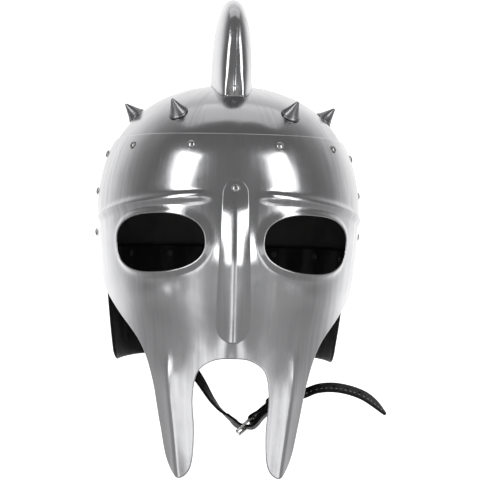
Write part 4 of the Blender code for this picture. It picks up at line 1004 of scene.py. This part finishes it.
def strapPiece(name, frames, width, thickness, nodes, holes):
    # a flat strap: a rounded rectangle carried along its frames, its ends rounded the same way
    centre, across, out = frames
    half, edge = thickness / 2, min(strap["edgeRound"], thickness / 2 - 1e-5)
    width = np.broadcast_to(width, (len(centre),))[:, None]
    w, h, *_ = roundBox(width / 2, half, edge, 5)
    h = h + 0 * w
    # points are added along both faces, which bulge by 4 %
    fill = np.linspace(-1, 1, 9)[1:-1]
    flatW, flatH = fill * (width / 2 - edge), half * (1 + 0.04 * (1 - fill**2)) + 0 * width
    w = np.concatenate([w[:, :5], flatW[:, ::-1], w[:, 5:15], flatW, w[:, 15:]], axis=1)
    h = np.concatenate([h[:, :5], flatH, h[:, 5:15], -flatH, h[:, 15:]], axis=1)
    run = runOf(centre)
    shrink = edge * (1 - halfRound(np.minimum(run, run[-1] - run) / edge))[:, None]
    w = np.sign(w) * np.maximum(np.abs(w) - shrink, 0)
    h = np.sign(h) * np.maximum(np.abs(h) - shrink, 0.3 * np.abs(h))
    points = centre[:, None] + across[:, None] * w[..., None] + out[:, None] * h[..., None]
    points = np.vstack([points.reshape(-1, 3), centre[:1], centre[-1:]])
    uv = np.vstack([stacked(run[:, None], w + 0.02 * (h < 0)).reshape(-1, 2), [[0, 0], [run[-1], 0]]])
    mesh = meshOf(name, points, capped(*w.shape), uv=uv, sharp=60)
    drill(pieceOf(name, mesh, [strapLeather], "strap_leather", nodes), holes)


def drill(obj, spans):
    # punched holes: cylinders between pairs of points are taken out, each stretched by its own shift into a slot
    sides, points = 24, []
    angle = (np.arange(sides) * 2 * math.pi / sides)[:, None]
    for start, end, radius, shift in spans:
        side, other = squareTo(unit(end - start))
        ring = (np.cos(angle) * side + np.sin(angle) * other) * radius
        ring = ring + np.where((ring @ shift)[:, None] > 0, 0.5, -0.5) * shift
        points.append(np.vstack([start + ring, end + ring, start, end]))
    punch = linked("punch", meshOf("punch", np.vstack(points), repeated(capped(2, sides), len(spans), 2 * sides + 2)))
    punch.data.shade_flat()
    modifier = obj.modifiers.new("holes", "BOOLEAN")
    modifier.operation, modifier.object, modifier.solver = "DIFFERENCE", punch, "EXACT"
    modifier.use_self = True
    graph = bpy.context.evaluated_depsgraph_get()
    done = bpy.data.meshes.new_from_object(obj.evaluated_get(graph))
    obj.modifiers.clear()
    obj.data = done
    done.set_sharp_from_angle(angle=math.radians(50))
    bpy.data.objects.remove(punch)


def makeBuckleStrap():
    # the right strap: from its short folded end, round the heel bar, and up to the right side
    s = strap
    centre, across, out = strapFrames(heelLine(500))
    run = runOf(centre)
    off = layerOffset(run)[:, None]
    short = run < s["foldLength"]
    heelAlong, heelAcross, heelOut = buckleAxes()
    angle = np.radians(np.linspace(-90, -270, 26))[1:-1, None]
    arc = centre[0] + off[0] * (np.cos(angle) * heelAlong + np.sin(angle) * heelOut)
    line = np.vstack([(centre - out * off)[short][::-1], arc, centre + out * off])
    widths = np.vstack([across[short][::-1], np.tile(heelAcross, (len(arc), 1)), across])
    frames = strapFrames(splineEven(np.column_stack([line, widths]), 620))
    middle, reach = inBuckle(s["slotAt"], 0), heelOut * s["slotReach"]
    slot = [(middle - reach, middle + reach, s["slotRadius"], heelAlong * s["slotLength"])]
    strapPiece("buckleStrap", frames, s["width"], s["buckleLeather"], ["strap_buckle"], slot)


def billetLine():
    # the left strap's middle: down from the bowl, through the buckle, along the right strap, and free
    s = strap
    along, across, _ = buckleAxes()
    threaded = []
    for a, b, degrees in s["through"]:
        twist = math.radians(degrees)
        threaded.append((*inBuckle(a / 1000, b / 1000), *(math.cos(twist) * across + math.sin(twist) * along)))
    centre, widths, out = strapFrames(heelLine(90))
    run = runOf(centre)
    over = layerOffset(run) + (s["buckleLeather"] + s["leather"]) / 2 + s["clear"]
    over = over + s["rise"] * ease(0.010, 0.026, run)
    at = np.searchsorted(run, (0.0, 0.006, 0.012, 0.018, 0.024))
    beside = np.column_stack([centre[at] + out[at] * over[at][:, None], widths[at]])
    return splineThrough(np.vstack([wallRows(-1, s["leather"]), s["left"], threaded, beside, s["free"]]), 1400)


def billetWidth(left):
    s = strap
    taper = 1 - np.clip(1 - left / s["tipLength"], 0, 1) ** 2
    return s["tipWidth"] + (s["width"] - s["tipWidth"]) * taper


def placesFromTip(centre, aways):
    # the rows nearest these distances from the end of a line, and every row's distance from it
    run = runOf(centre)
    left = run[-1] - run
    return np.array([int(np.argmin(np.abs(left - away))) for away in aways]), left


def makeBillet():
    s = strap
    route = splineEven(billetLine(), 700)
    centre, across, out = strapFrames(route)
    spots, left = placesFromTip(centre, s["holes"])
    height = buckle["wire"] + s["clear"] + buckle["prong"]
    ends = [(centre[i] - out[i] * s["punchReach"], centre[i] + out[i] * s["punchReach"]) for i in spots]
    ends.append([inBuckle(at, height) for at in s["prongSlot"]])
    spans = [(start, end, s["holeRadius"], np.zeros(3)) for start, end in ends]
    strapPiece("billetStrap", (centre, across, out), billetWidth(left), s["leather"], ["strap_billet"], spans)
    return route


def makeStitches(route):
    # one row of small stitches near one edge of the free end: capsules along the strap, sunk into its face
    s = strap
    centre, across, out = strapFrames(route)
    along = unit(np.gradient(centre, axis=0))
    spots, left = placesFromTip(centre, np.arange(s["stitchFrom"], s["stitchTo"], s["stitchPitch"]))
    half = billetWidth(left[spots]) / 2
    middle = centre[spots] - across[spots] * (half - np.minimum(s["stitchIn"], 0.55 * half))[:, None]
    middle = middle - out[spots] * s["leather"] / 2 * 1.02
    rows, sides = 7, 10
    t = np.linspace(0, math.pi, rows + 2)[:, None]
    a = np.arange(sides) * 2 * math.pi / sides
    thick = np.sin(t) ** 0.6 * s["stitchRadius"]
    local = stacked(-np.cos(t) * s["stitchLength"] / 2, thick * np.cos(a) * 1.5, thick * np.sin(a))
    body = np.vstack([local[1:-1].reshape(-1, 3), local[0, :1], local[-1, :1]])
    points = middle[:, None] + body @ np.stack([along[spots], across[spots], out[spots]], axis=1)
    mesh = meshOf("stitches", points.reshape(-1, 3), repeated(capped(rows, sides), len(spots), len(body)))
    pieceOf("strapStitches", mesh, [threadLook], "strap_leather")


def makeFoldRivets():
    s = strap
    centre, _, out = strapFrames(heelLine(90))
    half = s["buckleLeather"] + s["foldGap"] / 2
    for k, at in enumerate(s["foldRivets"], 1):
        i = int(np.searchsorted(runOf(centre), at))
        low, high = centre[i] - out[i] * half, centre[i] + out[i] * half
        end = s["clear"] - float(np.linalg.norm(low - high))
        angles = np.radians((0, 12, 28, 46, 66))
        dome = [(s["pinHead"] * math.cos(a), s["clear"] + s["pinRise"] * math.sin(a)) for a in angles]
        shank = [(0, end), (s["pinShank"], end), (s["pinShank"], s["clear"])]
        profile = [*shank, *dome, (0, s["clear"] + s["pinRise"])]
        mesh = placeOn(f"strap_rivet_{k}_fine", profile, 28, low, low - high)
        pieceOf(f"strap_rivet_{k}_fine", mesh, [buckleMetal], "buckle_metal", [f"strap_rivet_{k}"])


def wirePiece(name, line, hint, radius, sides, node, closed=False):
    # a round wire: circles square to the line, carried along it
    line = np.asarray(line, float)
    along = unit(np.roll(line, -1, axis=0) - np.roll(line, 1, axis=0) if closed else np.gradient(line, axis=0))
    side = unit(hint - np.sum(hint * along, axis=1, keepdims=True) * along)
    angle = (np.arange(sides) * 2 * math.pi / sides)[:, None]
    ring = np.cos(angle) * side[:, None] + np.sin(angle) * np.cross(along, side)[:, None]
    points = (line[:, None] + np.reshape(radius, (-1, 1, 1)) * ring).reshape(-1, 3)
    if closed:
        faces = [gridFaces(len(line), sides, closeRows=True, closeColumns=True)]
    else:
        points, faces = np.vstack([points, line[:1], line[-1:]]), capped(len(line), sides)
    pieceOf(name, meshOf(name, points, faces, sharp=60), [buckleMetal], "buckle_metal", [node])


def makeBuckle():
    # a rectangle of wire with round corners, and a prong hooked round its heel bar
    b = buckle
    _, across, out = buckleAxes()
    places, sideways, *_ = roundBox(b["halfLength"], b["halfWidth"], b["corner"], 9)
    line = [inBuckle(s, 0.0, w) for s, w in zip(places, sideways)]
    wirePiece("buckleFrame", line, out, b["wire"], 24, "buckle_frame", closed=True)
    height = b["wire"] + strap["clear"] + b["prong"]
    turns = np.radians(np.linspace(-140, 90, 28))
    hook = [inBuckle(b["halfLength"] + height * math.cos(a), height * math.sin(a)) for a in turns]
    straight = [inBuckle(s, height) for s in np.linspace(0.0075, -0.0090, 24)]
    radius = b["prong"] * np.array([*[1.0] * 44, *b["prongTaper"]])
    wirePiece("buckleProng", hook + straight, across, radius, 18, "buckle_prong")


def makeKeeper():
    # a leather loop round the billet and both folded layers: a rounded section carried round a rounded rectangle
    s = strap
    centre, across, out = strapFrames(heelLine(90))
    i = int(np.searchsorted(runOf(centre), s["keeperAt"]))
    thick = s["keeperLeather"] / 2
    low = -(s["foldGap"] / 2 + s["buckleLeather"] + 2 * s["clear"]) - thick
    high = s["foldGap"] / 2 + s["buckleLeather"] + s["leather"] + 4 * s["clear"] + thick
    half = s["width"] / 2 + 2 * s["clear"] + thick
    w, h, wayW, wayH = (row[:, None] for row in roundBox(half, (high - low) / 2, s["keeperCorner"], 9))
    outward, sideways, *_ = roundBox(thick, s["keeperWidth"] / 2, thick * 0.6, 4)
    local = stacked(w + wayW * outward, h + (high + low) / 2 + wayH * outward, sideways)
    points = centre[i] + local @ np.array([across[i], out[i], np.cross(across[i], -out[i])])
    faces = [gridFaces(*local.shape[:2], closeRows=True, closeColumns=True)]
    mesh = meshOf("keeper", points.reshape(-1, 3), faces, sharp=60)
    pieceOf("strapKeeper", mesh, [strapLeather], "strap_leather", ["strap_keeper"])


makeBuckleStrap()
makeStitches(makeBillet())
makeFoldRivets()
makeBuckle()
makeKeeper()
print("chin strap made")


# ---- floor, light and camera ----

studio = dict(
    floor=-0.90, pale=0.60, floorGlow=1.0, floorLight=(0.10, 0.13, 0.20, 0.17), halfWide=2.6, near=-1.5,
    bendFrom=1.3, bend=0.9, wall=2.2, wallTop=2.6, lens=125.0, distance=1.35, target=(0.0078, -0.050, -0.1262),
    yaw=3.0, rise=1.5, roll=1.2, frontDark=0.19, sideGrey=0.16, rearGrey=0.34, backGrey=1.15,
    panels=[  # name, place, aim, size and glow
        ("leftPanel", (-0.98, -1.05, 0.42), (0, 0, -0.1), (0.48, 1.40), 3.6),
        ("rightPanel", (0.98, -1.05, 0.42), (0, 0, -0.1), (0.48, 1.40), 3.6),
        ("topPanel", (0.0, 0.35, 1.5), (0, 0.1, -0.1), (1.6, 0.9), 0.5),
        ("lowLeftPanel", (-0.60, -1.30, -0.50), (0, 0, -0.25), (0.40, 0.70), 1.0),
        ("lowRightPanel", (0.60, -1.30, -0.50), (0, 0, -0.25), (0.40, 0.70), 1.0),
        ("lowMiddlePanel", (0.0, -1.5, -0.52), (0, 0, -0.25), (0.36, 0.50), 0.45),
    ],
)


def makeStage():
    # a floor that curves up into a wall, as one strip carried sideways
    s, arc = studio, np.radians(np.linspace(0, 90, 13))
    curve = np.column_stack([s["bendFrom"] + s["bend"] * np.sin(arc), s["floor"] + s["bend"] * (1 - np.cos(arc))])
    line = np.vstack([[s["near"], s["floor"]], curve, [s["wall"], s["wallTop"]]])
    points = stacked(np.array([-s["halfWide"], s["halfWide"]]), line[:, :1], line[:, 1:]).reshape(-1, 3)
    floor = linked("floor", meshOf("floor", points, [gridFaces(len(line), 2)[:, ::-1]], solid=False))
    made, shader, *_ = newFinish("paleFloor")
    connect(shader, {
        "Base Color": (*[s["pale"]] * 3, 1.0), "Roughness": 0.9, "Specular IOR Level": 0.0,
        "Emission Color": (1.0, 1.0, 1.0, 1.0), "Emission Strength": s["floorGlow"],
    })
    floor.data.materials.append(made)
    floor.visible_glossy = False


def addPanel(name, place, aim, size, glow):
    # a soft light: watts = glow * pi * area gives every panel the same brightness for the same glow
    lamp = bpy.data.lights.new(name, "AREA")
    lamp.shape, lamp.size, lamp.size_y = "RECTANGLE", size[0], size[1]
    lamp.energy = glow * math.pi * size[0] * size[1]
    obj = linked(name, lamp)
    obj.location = place
    obj.rotation_euler = (Vector(aim) - Vector(place)).to_track_quat("-Z", "Y").to_euler()


def makeWorld():
    # room light: front to back by the first ramp, plus a pale floor's light from below by the second
    world = bpy.data.worlds.new("studio")
    world.use_nodes = True
    add = adderOf(world.node_tree)
    parts = add("SeparateXYZ", {0: add("TexCoord", out="Generated")}).node
    shareOf = lambda axis: add("MapRange", {"Value": parts.outputs[axis], "From Min": -1.0})
    tones = [studio[tone] for tone in ("frontDark", "sideGrey", "rearGrey", "backGrey")]
    room = rampOf(add, shareOf("Y"), list(zip((0.05, 0.45, 0.66, 0.92), tones)))
    spots = [*zip((0.0, 0.25, 0.40, 0.47), studio["floorLight"]), (0.52, 0.0)]
    lit = mixOf(add, 1.0, room, rampOf(add, shareOf("Z"), spots), "ADD")
    # the camera itself sees plain white
    seen = mixOf(add, add("LightPath", out="Is Camera Ray"), lit, (1.0, 1.0, 1.0, 1.0))
    connect(world.node_tree.nodes["Background"], {"Color": seen})
    bpy.context.scene.world = world


def makeCamera():
    data = bpy.data.cameras.new("camera")
    data.lens, data.sensor_width, data.clip_end = studio["lens"], 36.0, 50.0
    camera = linked("camera", data)
    yaw, rise = math.radians(studio["yaw"]), math.radians(studio["rise"])
    away = Vector((-math.sin(yaw) * math.cos(rise), -math.cos(yaw) * math.cos(rise), math.sin(rise)))
    roll = Quaternion((0, 0, 1), math.radians(studio["roll"]))
    camera.location = Vector(studio["target"]) + away * studio["distance"]
    camera.rotation_mode = "QUATERNION"
    camera.rotation_quaternion = (-away).to_track_quat("-Z", "Y") @ roll
    bpy.context.scene.camera = camera


makeStage()
for panel in studio["panels"]:
    addPanel(*panel)
makeWorld()
bpy.context.scene.view_settings.view_transform = "Standard"
makeCamera()
